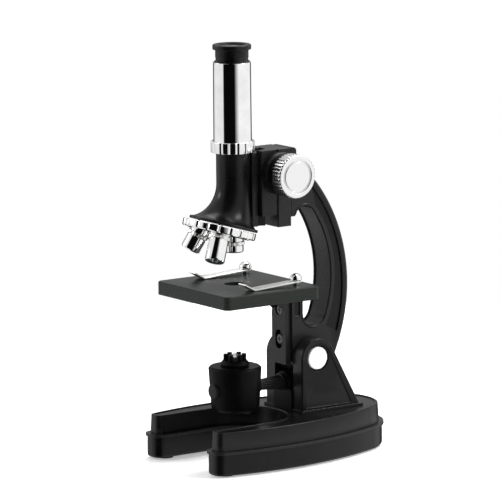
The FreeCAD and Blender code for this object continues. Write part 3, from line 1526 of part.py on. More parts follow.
def make_stage_bracket():
    body = new_body("stage_bracket")
    back = s.arm_front - 0.02
    front = back - s.bracket_thick
    tall = s.stage_under - 0.02 - s.bracket_bottom
    pad(body, "XY_Plane", s.bracket_bottom, tall,
        [rectangle(0, (front + back) / 2, s.bracket_width, s.bracket_thick)])
    shelf = s.bracket_shelf
    shelf_top = s.stage_under - 0.02
    pad(body, "XY_Plane", shelf_top - s.shelf_thick, s.shelf_thick,
        [rectangle(0, back - shelf / 2, s.bracket_width + 3, shelf)])
    spots = [(side * s.stage_screw_x, s.shelf_screw_y, s.stage_screw_radius + s.seat_gap / 2)
             for side in (-1, 1)]
    pocket(body, "XY_Plane", shelf_top, s.shelf_thick, (), spots)
    rib = [
        (front + 0.5, s.stage_under - 10),
        (front + 0.5, s.stage_under - 1),
        (back - shelf + 1, s.stage_under - 1),
        (back - shelf + 1, s.stage_under - 2.4),
    ]
    pad(body, "YZ_Plane", -s.bracket_width / 2, 2.0, [rib])
    pad(body, "YZ_Plane", s.bracket_width / 2 - 2.0, 2.0, [rib])
    half = s.slot_width / 2
    straight = s.slot_height / 2 - half
    slot = [
        (half, s.slot_place - straight),
        (half, s.slot_place + straight),
        (0, s.slot_place + straight + half, half),
        (-half, s.slot_place + straight, half),
        (-half, s.slot_place - straight),
        (0, s.slot_place - straight - half, half),
        (half, s.slot_place - straight, half),
    ][1:]
    pocket(body, "XZ_Plane", -front, s.slot_depth, [slot])
    notch = [
        (half, s.notch_foot + half),
        (half, s.stage_under - 2.5),
        (-half, s.stage_under - 2.5),
        (-half, s.notch_foot + half),
        (0, s.notch_foot, half),
        (half, s.notch_foot + half, half),
    ][1:]
    pocket(body, "XZ_Plane", -front, s.slot_depth, [notch])
    holes = [(0, height, s.plate_screw_radius + s.seat_gap)
             for height in (s.slot_place, s.upper_screw)]
    pocket(body, "XZ_Plane", -front, s.bracket_thick, (), holes)
    return body


def make_bracket_screws():
    seat = s.arm_front - 0.02 - s.bracket_thick + s.slot_depth
    poses = [move(0, seat, height) * FRONT_HEAD for height in (s.slot_place, s.upper_screw)]
    screw_group("bracket_screws", poses, 2.4, 1.2, s.plate_screw_radius, s.plate_screw_reach)
    shelf = s.stage_under - s.shelf_thick - 0.02
    poses = [move(side * s.stage_screw_x, s.shelf_screw_y, shelf) * DOWNWARD_HEAD
             for side in (-1, 1)]
    screw_group("stage_screws", poses, 1.7, 1.0, s.stage_screw_radius, s.stage_screw_reach)


# ---------------------------------------------------------------- clips

def make_clip(side_name, side):
    stage = s.stage_height
    lift = s.clip_lift
    thick = s.clip_thick
    reach = s.clip_reach
    tip = s.clip_tip
    touch = s.clip_touch
    rise = touch + thick + s.clip_rise
    root_end = s.clip_root
    spring = new_body(f"{side_name}_clip_spring")
    half = s.clip_width / 2
    strip = [
        (root_end, lift),
        (root_end, lift + thick),
        (-root_end, lift + thick),
        (-reach, touch + thick),
        (-reach - tip, rise),
        (-reach - tip - 0.35, rise - 0.5),
        (-reach, touch),
        (-root_end, lift),
    ]
    pad(spring, "YZ_Plane", -half, s.clip_width, [strip])
    pocket(spring, "XY_Plane", 6, 8, (), [(0, 0, s.stud_radius)])
    doc.recompute()
    ease(spring, 1.6, lambda edge: edge.BoundBox.ZLength < 1 and edge.BoundBox.YMin > 2.9
         and edge.BoundBox.XLength < 0.1 and edge.BoundBox.ZLength > 0.3)
    put(spring, move(side * s.clip_place_x, s.clip_place_y, stage))
    ball = s.ball_radius
    centre = s.ball_height
    turned(f"{side_name}_clip_stud", [
        (0, -s.stage_thick - 1.4),
        (2.2, -s.stage_thick - 1.4),
        (2.2, -s.stage_thick - 0.15),
        (s.stud_radius, -s.stage_thick - 0.15),
        (s.stud_radius, 0.15),
        (2.0, 0.15),
        (2.0, lift - 0.02),
        (s.stud_radius - 0.02, lift - 0.02),
        (s.stud_radius - 0.02, lift + thick + 0.02),
        (2.4, lift + thick + 0.02),
        (2.8, centre - 0.4),
        (ball, centre, 6),
        (0, centre + ball, ball),
    ], move(side * s.clip_place_x, s.clip_place_y, stage))


# ---------------------------------------------------------------- illuminator

def make_drum():
    top = s.drum_top
    low = s.drum_bottom
    wall = s.drum_wall
    ledge = s.lamp_height + 4.2
    body = turned("lamp_drum", [
        (0, s.lamp_height + 2.6),
        (0, ledge),
        (s.drum_radius - wall, ledge),
        (s.drum_radius - wall, top - 1.5),
        (s.socket_radius + 0.3, top - 1.5),
        (s.socket_radius + 0.3, top),
        (s.drum_radius - 0.8, top),
        (s.drum_radius, top - 0.8),
        (s.drum_foot_radius + 0.6, low + 2),
        (s.drum_foot_radius - 0.6, low),
        (s.mirror_radius + s.seat_gap, low),
        (s.mirror_radius + s.seat_gap, low + s.mirror_thick + 0.6),
        (s.mirror_radius - 1.0, low + s.mirror_thick + 0.6),
        (s.mirror_radius - 1.0, s.lamp_height + 2.6),
    ], OPTICAL_AXIS)
    bush = s.axle_radius + 1.8
    pad(body, "XZ_Plane", -s.bush_face, 3.6, (), [(0, s.lamp_height, bush)])
    seat = [(0, s.lamp_height, s.axle_radius)]
    pocket(body, "XZ_Plane", -s.bush_face, s.bush_depth, (), seat, along=True)
    boss = [(0, s.lamp_height, s.axle_cap_radius + 0.4)]
    pad(body, "XZ_Plane", s.cap_boss - 3.0, 3.0, (), boss)
    return body


def make_lamp():
    top = s.drum_top
    base = s.lamp_height + 4.3
    ring = turned("lamp_socket", [
        (s.bulb_radius + 0.5, base),
        (s.socket_radius, base),
        (s.socket_radius, top + 0.6),
        (s.socket_radius + 1.4, top + 0.6),
        (s.socket_radius + 1.4, top + 1.6),
        (s.socket_radius, top + s.socket_height),
        (s.bulb_radius + 0.5, top + s.socket_height),
    ], OPTICAL_AXIS)
    count = int(s.prong_count.number)
    middle = (s.socket_radius + s.bulb_radius + 0.5) / 2
    spots = []
    for number in range(count):
        angle = 360.0 / count * number
        spots.append((middle * cosine(angle), middle * sine(angle), 1.25))
    pad(ring, "XY_Plane", top + s.socket_height - 0.5, s.prong_height + 0.5, (), spots)
    turned("bulb", [
        (0, base + 0.1),
        (s.bulb_radius, base + 0.1),
        (s.bulb_radius, top + s.socket_height + 0.6),
        (0, top + s.socket_height + 0.6 + s.bulb_radius, s.bulb_radius),
    ], OPTICAL_AXIS)


def make_mirror():
    low = s.drum_bottom
    turned("mirror", [
        (0, low + 0.1),
        (s.mirror_radius, low + 0.1),
        (s.mirror_radius, low + 0.1 + s.mirror_thick),
        (0, low + 0.1 + s.mirror_thick),
    ], OPTICAL_AXIS)
    clips = []
    tab_place = move(-1.3, s.mirror_radius - 1.8, low - 0.35)
    for number in range(3):
        spin = turn(Z_AXIS, 30 + 120 * number)
        tab = block(f"mirror_clip_{number}", 2.6, 3.4, 0.35, 0, s.mirror_radius - 1.8, low - 0.35)
        clips.append(put(tab, OPTICAL_AXIS * spin * tab_place))
    group("mirror_clips", clips)


def lamp_axis_pose(y):
    """Along the illuminator's turning axis, z of the piece towards the heel."""
    return move(0, y, s.lamp_height) * turn(X_AXIS, -90)


def make_lamp_axle():
    start = s.bush_face - s.bush_depth
    grip = s.grip_start
    end = s.grip_end
    back = s.post_front - s.axis_place + s.post_thick
    body = turned("lamp_axle", [
        (0, start),
        (s.axle_radius, start),
        (s.axle_radius, grip + 0.8),
        (s.axle_radius + 0.5, grip + 0.8),
        (s.grip_radius - 0.4, end - 1.2),
        (s.grip_radius + 0.5, end - 1.2),
        (s.grip_radius + 0.5, end),
        (s.axle_radius - 0.2, end),
        (s.axle_radius - 0.2, back + 0.3),
        (s.axle_radius + 1.0, back + 0.3),
        (s.axle_radius + 1.0, back + 1.4),
        (0, back + 1.4),
    ], lamp_axis_pose(s.axis_place))
    bite = pocket(body, "XY_Plane", end - 1.2, end - 2.4 - grip, (),
                  [(s.grip_radius - 0.5, 0, 0.6)])
    around(body, bite, 14)
    turned("axle_cap", [
        (0, 0),
        (s.axle_cap_radius - 0.3, 0),
        (s.axle_cap_radius, 0.3),
        (s.axle_cap_radius, s.axle_cap_thick),
        (0, s.axle_cap_thick),
    ], lamp_axis_pose(s.axis_place - s.cap_boss - s.axle_cap_thick))


def make_lamp_post():
    body = new_body("lamp_post")
    half = s.post_width / 2
    wide = s.upright_gap / 2 - s.free_gap
    foot = s.seat
    shoulder = s.shoulder_height
    bore = s.axle_radius - 0.2 + s.running_gap
    round_at = s.shoulder_round
    outline = [
        (-wide, foot),
        (wide, foot),
        (wide, shoulder),
        (wide - round_at, shoulder + round_at, round_at),
        (half, shoulder + round_at),
        (half, s.lamp_height),
        (0, s.lamp_height + half, half),
        (-half, s.lamp_height, half),
        (-half, shoulder + round_at),
        (round_at - wide, shoulder + round_at),
        (-wide, shoulder, round_at),
    ]
    back = s.post_front + s.post_thick
    pad(body, "XZ_Plane", -back, s.post_thick, [outline])
    pocket(body, "XZ_Plane", -s.post_front, s.post_thick, (), [(0, s.lamp_height, bore)])
    spots = [spot for spot in frame_screw_spots() if abs(spot[0].number) < wide.number]
    holes = with_radius(spots, s.frame_screw_radius + s.seat_gap / 2)
    depth = s.frame_screw_reach - s.base_wall + s.free_gap
    pocket(body, "XY_Plane", foot, depth, (), holes, along=True)
    return body


# ---------------------------------------------------------------- build, check and write

def build_all():
    make_base_tray()
    make_base_cover()
    make_rubber_feet()
    make_base_screws()
    make_battery_door()
    make_batteries()
    make_battery_contacts()
    make_upright("left_upright", -1)
    make_upright("right_upright", 1)
    make_pivot()
    make_lamp_post()
    make_frame_screws()
    make_arm()
    make_head_screws()
    make_focus_head()
    make_shaft_housings()
    make_focus_drive()
    make_rack()
    make_slide_rail(make_body_tube())
    make_tube_collar()
    make_chrome_tube()
    make_eyepiece()
    make_turret_disc()
    make_objective("low_objective", "low_lens", 0, s.low_length)
    make_objective("high_objective", "high_lens", 240, s.high_length)
    make_objective("mid_objective", "mid_lens", 120, s.mid_length)
    make_turret_screw()
    make_detent()
    make_stage()
    make_stage_bracket()
    make_bracket_screws()
    make_clip("left", -1)
    make_clip("right", 1)
    make_drum()
    make_lamp()
    make_mirror()
    make_lamp_axle()


NODES = """
base_tray base_cover rubber_feet base_screws battery_door batteries battery_contacts
left_upright right_upright pivot_bolt pivot_nut pivot_washers pivot_caps lamp_post frame_screws
arm focus_head head_screws shaft_housings stage_bracket bracket_screws stage stage_screws
focus_shaft pinion left_focus_knob right_focus_knob
slide_rail rack body_tube tube_collar chrome_tube turret_screw detent_ball
eyepiece_housing eye_lens field_lens field_stop
turret_disc low_objective mid_objective high_objective low_lens mid_lens high_lens
left_clip_spring left_clip_stud right_clip_spring right_clip_stud
lamp_drum lamp_socket bulb mirror mirror_clips lamp_axle axle_cap
""".split()


def check_all():
    for item in doc.Objects:
        if "Invalid" in item.State or "Error" in item.State:
            raise RuntimeError(f"{item.Label} failed: {item.State}")
    for label in NODES:
        shape = doc.getObjectsByLabel(label)[0].Shape
        if shape.isNull() or not shape.isValid() or not shape.Solids:
            raise RuntimeError(f"{label} has no valid solid")


def write_all():
    os.makedirs("parts", exist_ok=True)
    for label in NODES:
        shape = doc.getObjectsByLabel(label)[0].Shape
        shape.exportStep(f"parts/{label}.step")
        print(label, len(shape.Solids), round(shape.Volume, 1))


build_all()
doc.recompute()
check_all()
write_all()
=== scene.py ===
import json
import math

import bmesh
import bpy
from mathutils import Matrix, Vector


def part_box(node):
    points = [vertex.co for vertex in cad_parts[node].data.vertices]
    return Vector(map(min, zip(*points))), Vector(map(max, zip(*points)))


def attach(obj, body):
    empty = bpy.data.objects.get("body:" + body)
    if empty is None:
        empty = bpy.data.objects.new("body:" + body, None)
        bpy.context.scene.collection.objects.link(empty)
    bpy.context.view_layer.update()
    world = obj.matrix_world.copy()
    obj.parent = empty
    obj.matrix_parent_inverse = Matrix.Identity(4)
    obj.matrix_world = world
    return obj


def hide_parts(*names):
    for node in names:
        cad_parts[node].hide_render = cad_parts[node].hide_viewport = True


# The looks of the microscope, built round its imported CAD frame. Its pieces have the CAD model's
# places and sizes, in millimetres, which finish_mesh turns into metres. Materials, camera, lights
# and floor are in metres.

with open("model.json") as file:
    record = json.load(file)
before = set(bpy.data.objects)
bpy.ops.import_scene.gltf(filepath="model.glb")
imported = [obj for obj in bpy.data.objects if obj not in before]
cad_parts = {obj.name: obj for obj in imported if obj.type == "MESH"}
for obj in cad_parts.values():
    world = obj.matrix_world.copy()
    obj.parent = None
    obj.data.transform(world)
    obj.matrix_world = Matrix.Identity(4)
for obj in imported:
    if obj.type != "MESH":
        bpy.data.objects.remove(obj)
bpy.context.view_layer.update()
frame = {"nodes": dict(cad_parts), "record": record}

MM = 0.001
X, Y, Z = range(3)


def middle(node, axis):
    """Where a CAD node's middle is along an axis, in millimetres.

    It is rounded to a tenth, because facets cut a round node's box a little short.
    """
    low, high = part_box(node)
    return round((low[axis] + high[axis]) / 2 / MM, 1)


def farthest(node, axis):
    """A CAD node's highest place along an axis, in millimetres, rounded likewise."""
    return round(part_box(node)[1][axis] / MM, 1)


AXIS_Y = middle("chrome_tube", Y)    # optical axis
TILT = math.radians(16.8)    # lean of the nosepiece, and of each objective on it
NOSE_RING = 9.6              # from the nosepiece's centre to an objective
SEAT_Z = 120.8               # seat of the working objective
TURRET_Y = AXIS_Y - NOSE_RING * math.cos(TILT)
TURRET_Z = SEAT_Z + NOSE_RING * math.sin(TILT)

NECK_RADIUS = 8.8            # body tube, above its flare
NECK_Z = 147.5               # where the flare starts
NECK_TOP = 163.8
FLARE_RADIUS = 18.2          # body tube, at the nosepiece
FLARE_SHIFT = 6.15           # centre of the flare's lower end, in front of the optical axis
FLARE_Z = 126.7
COLLAR_SEAT = 164.7          # floor inside the fluted ring, which the chromed tube stands on
TUBE_TOP = farthest("chrome_tube", Z)
FIT_GAP = 0.05               # between pieces that stand on each other

FOCUS_Y = middle("focus_shaft", Y)
FOCUS_Z = middle("focus_shaft", Z)
HOUSING_X = farthest("focus_head", X)
KNOB_X = 18.0                # inner face of a knob's rim
KNOB_RADIUS = 11.6

STAGE_TOP = farthest("stage", Z)
CLIP_X = middle("right_clip_stud", X)
CLIP_Y = middle("right_clip_stud", Y)
CLIP_THICK = 0.6

PIVOT_X = 14.6               # back of a cap disc
PIVOT_Y = middle("pivot_caps", Y)
PIVOT_Z = middle("pivot_caps", Z)
BEAD_X = 7.35                # centre line of the bead along the arm's opening
BEAD_RADIUS = 0.75

LAMP_AXLE_Z = middle("axle_cap", Z)


# ---------------------------------------------------------------- materials

EDGE_ROUND = 0.0004          # softens the sharp edges of a moulding or casting


def new_material(name):
    material = bpy.data.materials.new(name)
    material.use_nodes = True
    nodes = material.node_tree.nodes
    return material, nodes, material.node_tree.links, nodes["Principled BSDF"]


def mix_colours(nodes, links, factor, low, high):
    """Blends low into high by a factor; each is a colour or another node's output."""
    mix = nodes.new("ShaderNodeMix")
    mix.data_type = "RGBA"
    links.new(factor, mix.inputs["Factor"])
    for end, colour in (("A", low), ("B", high)):
        if isinstance(colour, bpy.types.NodeSocket):
            links.new(colour, mix.inputs[end])
        else:
            mix.inputs[end].default_value = (*colour, 1)
    return mix.outputs["Result"]


def noise(nodes, links, scale, detail, rough, stretch=None):
    """Noise on the object's own coordinates; scale is in waves per metre."""
    source = nodes.new("ShaderNodeTexCoord").outputs["Object"]
    if stretch is not None:
        mapping = nodes.new("ShaderNodeMapping")
        mapping.inputs["Scale"].default_value = stretch
        links.new(source, mapping.inputs["Vector"])
        source = mapping.outputs["Vector"]
    texture = nodes.new("ShaderNodeTexNoise")
    texture.inputs["Scale"].default_value = scale
    texture.inputs["Detail"].default_value = detail
    texture.inputs["Roughness"].default_value = rough
    links.new(source, texture.inputs["Vector"])
    return texture.outputs["Fac"]


def ramp(nodes, links, factor, low, high, start=0.3, end=0.7):
    """Maps a factor between start and end to numbers from low to high."""
    node = nodes.new("ShaderNodeMapRange")
    node.inputs["From Min"].default_value = start
    node.inputs["From Max"].default_value = end
    node.inputs["To Min"].default_value = low
    node.inputs["To Max"].default_value = high
    links.new(factor, node.inputs["Value"])
    return node.outputs["Result"]


def bump(nodes, links, shader, height, strength, distance, edge_round=0.0):
    """Surface relief from a height, and rounder edges where edge_round is given."""
    node = nodes.new("ShaderNodeBump")
    if edge_round:
        soft = nodes.new("ShaderNodeBevel")
        soft.samples = 4
        soft.inputs["Radius"].default_value = edge_round
        links.new(soft.outputs["Normal"], node.inputs["Normal"])
    node.inputs["Strength"].default_value = strength
    node.inputs["Distance"].default_value = distance
    links.new(height, node.inputs["Height"])
    links.new(node.outputs["Normal"], shader.inputs["Normal"])


def coated(name, dark, light, rough, grain, specular=0.5):
    """Paint or moulded plastic: two close tones, uneven gloss, fine grain, and a highlight painted
    paler on sharp edges.

    rough is the lowest and highest roughness; grain is its waves per metre and its depth.
    """
    material, nodes, links, shader = new_material(name)
    clouds = noise(nodes, links, 90.0, 5.0, 0.6)
    tone = mix_colours(nodes, links, ramp(nodes, links, clouds, 0.0, 1.0), dark, light)
    sharpness = nodes.new("ShaderNodeNewGeometry").outputs["Pointiness"]
    edges = ramp(nodes, links, sharpness, 0.0, 1.0, 0.505, 0.56)
    # Sharp edges are painted paler here: a painted highlight along them, whatever the light.
    painted_edge_highlight = [min(1.0, c * 2.0 + 0.004) for c in light]
    links.new(mix_colours(nodes, links, edges, tone, painted_edge_highlight), shader.inputs["Base Color"])
    smear = noise(nodes, links, 35.0, 3.0, 0.5)
    links.new(ramp(nodes, links, smear, *rough), shader.inputs["Roughness"])
    shader.inputs["Specular IOR Level"].default_value = specular
    waves, depth = grain
    bump(nodes, links, shader, noise(nodes, links, waves, 2.0, 0.5), 0.35, depth, EDGE_ROUND)
    return material


def metal(name, colour, rough, stretch=None):
    """Plated or bare metal: fine polishing marks in the roughness and the surface."""
    material, nodes, links, shader = new_material(name)
    shader.inputs["Metallic"].default_value = 1.0
    haze = noise(nodes, links, 120.0, 4.0, 0.6)
    shade = [c * 0.86 for c in colour]
    tone = mix_colours(nodes, links, ramp(nodes, links, haze, 0.0, 1.0, 0.35, 0.75), colour, shade)
    links.new(tone, shader.inputs["Base Color"])
    marks = noise(nodes, links, 900.0, 3.0, 0.6, stretch)
    links.new(ramp(nodes, links, marks, *rough), shader.inputs["Roughness"])
    bump(nodes, links, shader, marks, 0.15, 0.000004)
    return material


def spun_metal(name, colour, axis):
    """Chrome with the fine rings of turning round a line along X, for the knobs' faces."""
    material, nodes, links, shader = new_material(name)
    shader.inputs["Metallic"].default_value = 1.0
    shader.inputs["Base Color"].default_value = (*colour, 1)
    place = nodes.new("ShaderNodeTexCoord").outputs["Object"]
    for operation, value in (("SUBTRACT", axis), ("MULTIPLY", (0, 1, 1))):
        step = nodes.new("ShaderNodeVectorMath")
        step.operation = operation
        step.inputs[1].default_value = value
        links.new(place, step.inputs[0])
        place = step.outputs["Vector"]
    reach = nodes.new("ShaderNodeVectorMath")
    reach.operation = "LENGTH"
    links.new(place, reach.inputs[0])
    rings = nodes.new("ShaderNodeTexNoise")
    rings.noise_dimensions = "1D"
    rings.inputs["Scale"].default_value = 2600.0
    rings.inputs["Detail"].default_value = 2.0
    links.new(reach.outputs["Value"], rings.inputs["W"])
    links.new(ramp(nodes, links, rings.outputs["Fac"], 0.10, 0.26), shader.inputs["Roughness"])
    bump(nodes, links, shader, rings.outputs["Fac"], 0.35, 0.00002)
    return material


def glass(name, tint, alpha, rough):
    """Polished glass: tinted, faintly smeared, and as solid as alpha says."""
    material, nodes, links, shader = new_material(name)
    smear = noise(nodes, links, 150.0, 3.0, 0.5)
    tone = mix_colours(nodes, links, smear, tint, [c * 0.8 for c in tint])
    links.new(tone, shader.inputs["Base Color"])
    links.new(ramp(nodes, links, smear, rough, rough + 0.05), shader.inputs["Roughness"])
    shader.inputs["Alpha"].default_value = alpha
    shader.inputs["IOR"].default_value = 1.52
    shader.inputs["Coat Weight"].default_value = 1.0
    shader.inputs["Coat Roughness"].default_value = 0.02
    return material


ENAMEL = coated("enamel", (0.0025, 0.0025, 0.0027), (0.006, 0.006, 0.0062),
                (0.22, 0.32), (1500, 0.00003), 0.2)
PLASTIC = coated("moulded_black", (0.002, 0.002, 0.002), (0.005, 0.005, 0.005),
                 (0.26, 0.36), (2600, 0.00002), 0.22)
SATIN = coated("satin_black", (0.001, 0.001, 0.001), (0.003, 0.003, 0.003),
               (0.30, 0.42), (2200, 0.00003), 0.07)
MATTE = coated("matte_black", (0.005, 0.005, 0.005), (0.010, 0.010, 0.010),
               (0.45, 0.6), (3200, 0.00004), 0.2)
STAGE = coated("stage_enamel", (0.004, 0.0055, 0.0045), (0.008, 0.010, 0.0085),
               (0.24, 0.34), (1800, 0.00003), 0.13)
RUBBER = coated("rubber", (0.01, 0.01, 0.01), (0.02, 0.02, 0.02),
                (0.7, 0.85), (4200, 0.00006), 0.3)
WHITE = coated("white_disc", (0.93, 0.93, 0.92), (0.98, 0.98, 0.97), (0.28, 0.36), (1800, 0.00001))
CELL = coated("cell_sleeve", (0.03, 0.07, 0.16), (0.05, 0.10, 0.2), (0.25, 0.35), (1500, 0.00001))
CHROME = metal("chrome", (0.92, 0.93, 0.92), (0.02, 0.06))
STEEL = metal("zinc_steel", (0.62, 0.62, 0.62), (0.18, 0.32))
SPRING = metal("spring_steel", (0.93, 0.93, 0.91), (0.40, 0.52), (1, 0.06, 1))
BLACKENED = metal("blackened_steel", (0.10, 0.10, 0.10), (0.2, 0.35))
BRASS = metal("brass", (0.72, 0.52, 0.24), (0.16, 0.3))
MIRROR = metal("mirror", (0.9, 0.91, 0.92), (0.01, 0.03))
SPUN = spun_metal("spun_chrome", (0.88, 0.88, 0.88), (0, FOCUS_Y * MM, FOCUS_Z * MM))
LENS = glass("lens_glass", (0.75, 0.85, 0.9), 0.35, 0.02)
DARK_LENS = glass("dark_lens", (0.02, 0.02, 0.03), 0.92, 0.03)
BULB = glass("bulb_glass", (0.30, 0.30, 0.28), 0.5, 0.03)

BY_SLOT = {
    "black_casting": ENAMEL, "black_plastic": PLASTIC, "black_matte": MATTE, "stage_paint": STAGE,
    "chrome": CHROME, "bright_steel": STEEL, "spring_steel": SPRING, "brass": BRASS,
    "rubber": RUBBER, "cap_white": WHITE, "lens_glass": LENS, "lens_black": DARK_LENS,
    "mirror_glass": MIRROR, "bulb_glass": BULB, "battery_wrap": CELL,
}
BY_NODE = {
    "bracket_screws": BLACKENED, "stage_screws": BLACKENED, "frame_screws": BLACKENED,
    "lamp_post": SATIN, "lamp_socket": SATIN,
}


def dress_cad_nodes():
    """Gives CAD nodes their own or their slot's material, smooth up to their sharp edges."""
    slot_of = {part["node"]: part["material_slot"] for part in frame["record"]["subparts"]}
    for name, item in frame["nodes"].items():
        item.data.materials.clear()
        item.data.materials.append(BY_NODE.get(name, BY_SLOT[slot_of[name]]))
        item.data.shade_smooth()
        item.data.set_sharp_from_angle(angle=math.radians(30))


# ---------------------------------------------------------------- mesh tools

def shift(x, y, z):
    return Matrix.Translation((x, y, z))


def spin(axis, degrees):
    return Matrix.Rotation(math.radians(degrees), 4, axis)


def round_angles(count):
    """Equal steps round a full turn, in radians."""
    return [2 * math.pi * n / count for n in range(count)]


def tidy_normals(item):
    """Joins points that meet and turns every face outwards."""
    work = bmesh.new()
    work.from_mesh(item.data)
    bmesh.ops.remove_doubles(work, verts=work.verts, dist=1e-7)
    bmesh.ops.recalc_face_normals(work, faces=work.faces)
    work.to_mesh(item.data)
    work.free()


def finish_mesh(name, points, faces, material, body, replaced=(), sharp=35):
    """A mesh from points in millimetres, on its body, in place of the CAD nodes it replaces."""
    mesh = bpy.data.meshes.new(name)
    mesh.from_pydata([Vector(p) * MM for p in points], [], faces)
    mesh.validate()
    mesh.update()
    mesh.materials.append(material)
    item = bpy.data.objects.new(name, mesh)
    bpy.context.scene.collection.objects.link(item)
    tidy_normals(item)
    mesh.shade_smooth()
    mesh.set_sharp_from_angle(angle=math.radians(sharp))
    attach(item, body)
    if replaced:
        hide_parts(*replaced)
    return item


def rounded(corners, closed=False, steps=5):
    """A path of (a, b) or (a, b, radius) corners, with an arc of that radius at a corner."""
    path = []
    count = len(corners)
    for index, corner in enumerate(corners):
        here = Vector(corner[:2])
        radius = corner[2] if len(corner) > 2 else 0.0
        if not radius or (not closed and index in (0, count - 1)):
            path.append(tuple(here))
            continue
        before = (Vector(corners[index - 1][:2]) - here).normalized()
        after = (Vector(corners[(index + 1) % count][:2]) - here).normalized()
        angle = before.angle(after)
        reach = radius / math.tan(angle / 2)
        centre = here + (before + after).normalized() * (radius / math.sin(angle / 2))
        start = here + before * reach - centre
        sweep = start.angle_signed(here + after * reach - centre)
        for step in range(steps + 1):
            turn = Matrix.Rotation(-sweep * step / steps, 2)
            path.append(tuple(centre + turn @ start))
    return path


def arc(centre, radius, start, end, steps):
    """Points of an arc, angles in degrees, without its last point."""
    path = []
    for step in range(steps):
        angle = math.radians(start + (end - start) * step / steps)
        path.append((centre[0] + radius * math.cos(angle), centre[1] + radius * math.sin(angle)))
    return path


def headings(path):
    """Each point of a path, with the path's direction there."""
    steps = []
    for index, point in enumerate(path):
        before = Vector(path[max(index - 1, 0)])
        after = Vector(path[min(index + 1, len(path) - 1)])
        steps.append((Vector(point), (after - before).normalized()))
    return steps


def bridge(loops, ring=False):
    """Faces between loops of the same number of points: a closed-off row of them, or a ring."""
    count = len(loops[0])
    rows = len(loops)
    points = [point for loop in loops for point in loop]
    faces = []
    for row in range(rows if ring else rows - 1):
        low = row * count
        high = ((row + 1) % rows) * count
        for n in range(count):
            m = (n + 1) % count
            faces.append((low + n, low + m, high + m, high + n))
    if not ring:
        last = (rows - 1) * count
        faces.append(tuple(reversed(range(count))))
        faces.append(tuple(range(last, last + count)))
    return points, faces


def lathe(name, profile, pose, material, body, replaced=(),
          slices=96, closed=False, wave=None, sharp=35):
    """A piece turned about z from (radius, z) corners; wave(angle, r, z) can groove it.

    A closed profile goes round a bore and meets its own start; an open one starts and ends on
    the axis.
    """
    loops = []
    for r, z in rounded(profile, closed):
        loop = []
        for angle in round_angles(slices):
            reach = max(wave(angle, r, z) if wave else r, 1e-5)
            loop.append(pose @ Vector((reach * math.cos(angle), reach * math.sin(angle), z)))
        loops.append(loop)
    points, faces = bridge(loops, closed)
    return finish_mesh(name, points, faces, material, body, replaced, sharp)


def grooves(count, depth, power=1, radii=(0, math.inf), heights=(-math.inf, math.inf)):
    """Grooves round a turned piece, inside a band of radii and heights.

    A higher power makes them narrower, with the rim full between them.
    """
    def wave(angle, r, z):
        if radii[0] < r < radii[1] and heights[0] < z < heights[1]:
            return r - depth * (0.5 + 0.5 * math.cos(count * angle)) ** power
        return r
    return wave


OPTICAL = shift(0, AXIS_Y, 0)
NOSE = shift(0, TURRET_Y, TURRET_Z) @ Matrix.Rotation(-TILT, 4, "X")


# ---------------------------------------------------------------- tube and eyepiece

def make_chrome_tube():
    foot = COLLAR_SEAT + FIT_GAP
    lathe("bright_tube", [
        (8.2, foot), (10.05, foot), (9.87, TUBE_TOP, 0.25), (9.05, TUBE_TOP, 0.2),
        (9.05, 171.3), (8.2, 171.3),
    ], OPTICAL, CHROME, "carriage", ["chrome_tube"], slices=160, closed=True)


def make_collar():
    foot = NECK_TOP + FIT_GAP
    rim = 11.5
    lathe("fluted_ring", [
        (8.2, foot), (rim, foot, 0.35), (rim, 169.7, 0.35), (10.15, 169.7, 0.15),
        (10.15, COLLAR_SEAT), (8.2, COLLAR_SEAT),
    ], OPTICAL, CHROME, "carriage", ["tube_collar"], slices=288, closed=True,
        wave=grooves(16, 0.42, 8, radii=(rim - 0.7, math.inf)), sharp=25)


def make_eyepiece():
    rest = TUBE_TOP + FIT_GAP
    lathe("eyepiece_shell", [
        (7.7, 194.3), (8.9, 194.3, 0.2), (8.9, rest), (9.3, rest, 0.1), (9.3, 211.6, 0.2),
        (8.5, 211.8, 0.15), (8.5, 213.2, 0.15), (8.7, 213.5, 0.15), (8.7, 213.9), (8.7, 216.9),
        (8.7, 217.4, 0.3), (10.1, 217.7, 0.5), (10.1, 220.3, 0.7), (7.6, 220.3, 0.4),
        (6.4, 219.0, 0.5), (4.6, 218.5, 0.2), (4.6, 218.1), (5.7, 218.1), (5.7, 213.6),
        (7.7, 212.0),
    ], OPTICAL, PLASTIC, "eyepiece", ["eyepiece_housing"], slices=240,
        closed=True, wave=grooves(60, 0.12, radii=(8.5, 8.9), heights=(213.8, 217.2)))


def flare_ends(angle):
    """The flare's front and back points at an angle of its quarter turn, down from the neck."""
    down = math.sin(angle)
    out = 1 - math.cos(angle)
    front = AXIS_Y - FLARE_SHIFT - FLARE_RADIUS * math.cos(TILT)
    back = AXIS_Y - FLARE_SHIFT + FLARE_RADIUS * math.cos(TILT)
    drop = FLARE_RADIUS * math.sin(TILT)
    neck_front = AXIS_Y - NECK_RADIUS
    neck_back = AXIS_Y + NECK_RADIUS
    front_y = neck_front + (front - neck_front) * out
    back_y = neck_back + (back - neck_back) * out * out
    front_z = NECK_Z + (FLARE_Z + drop - NECK_Z) * down
    back_z = NECK_Z + (FLARE_Z - drop - NECK_Z) * down
    return Vector((0, front_y, front_z)), Vector((0, back_y, back_z))


def ring_between(front, back, grow=0.0, lift=0.0):
    """A circle across its front and back points, grown and lifted along its own axis."""
    centre = (front + back) / 2
    half = (back - front) / 2
    along = half.normalized()
    across = Vector((1, 0, 0))
    up = across.cross(along)
    reach = half.length + grow
    return [centre + along * (reach * math.cos(angle)) + across * (reach * math.sin(angle))
            + up * lift for angle in round_angles(128)]


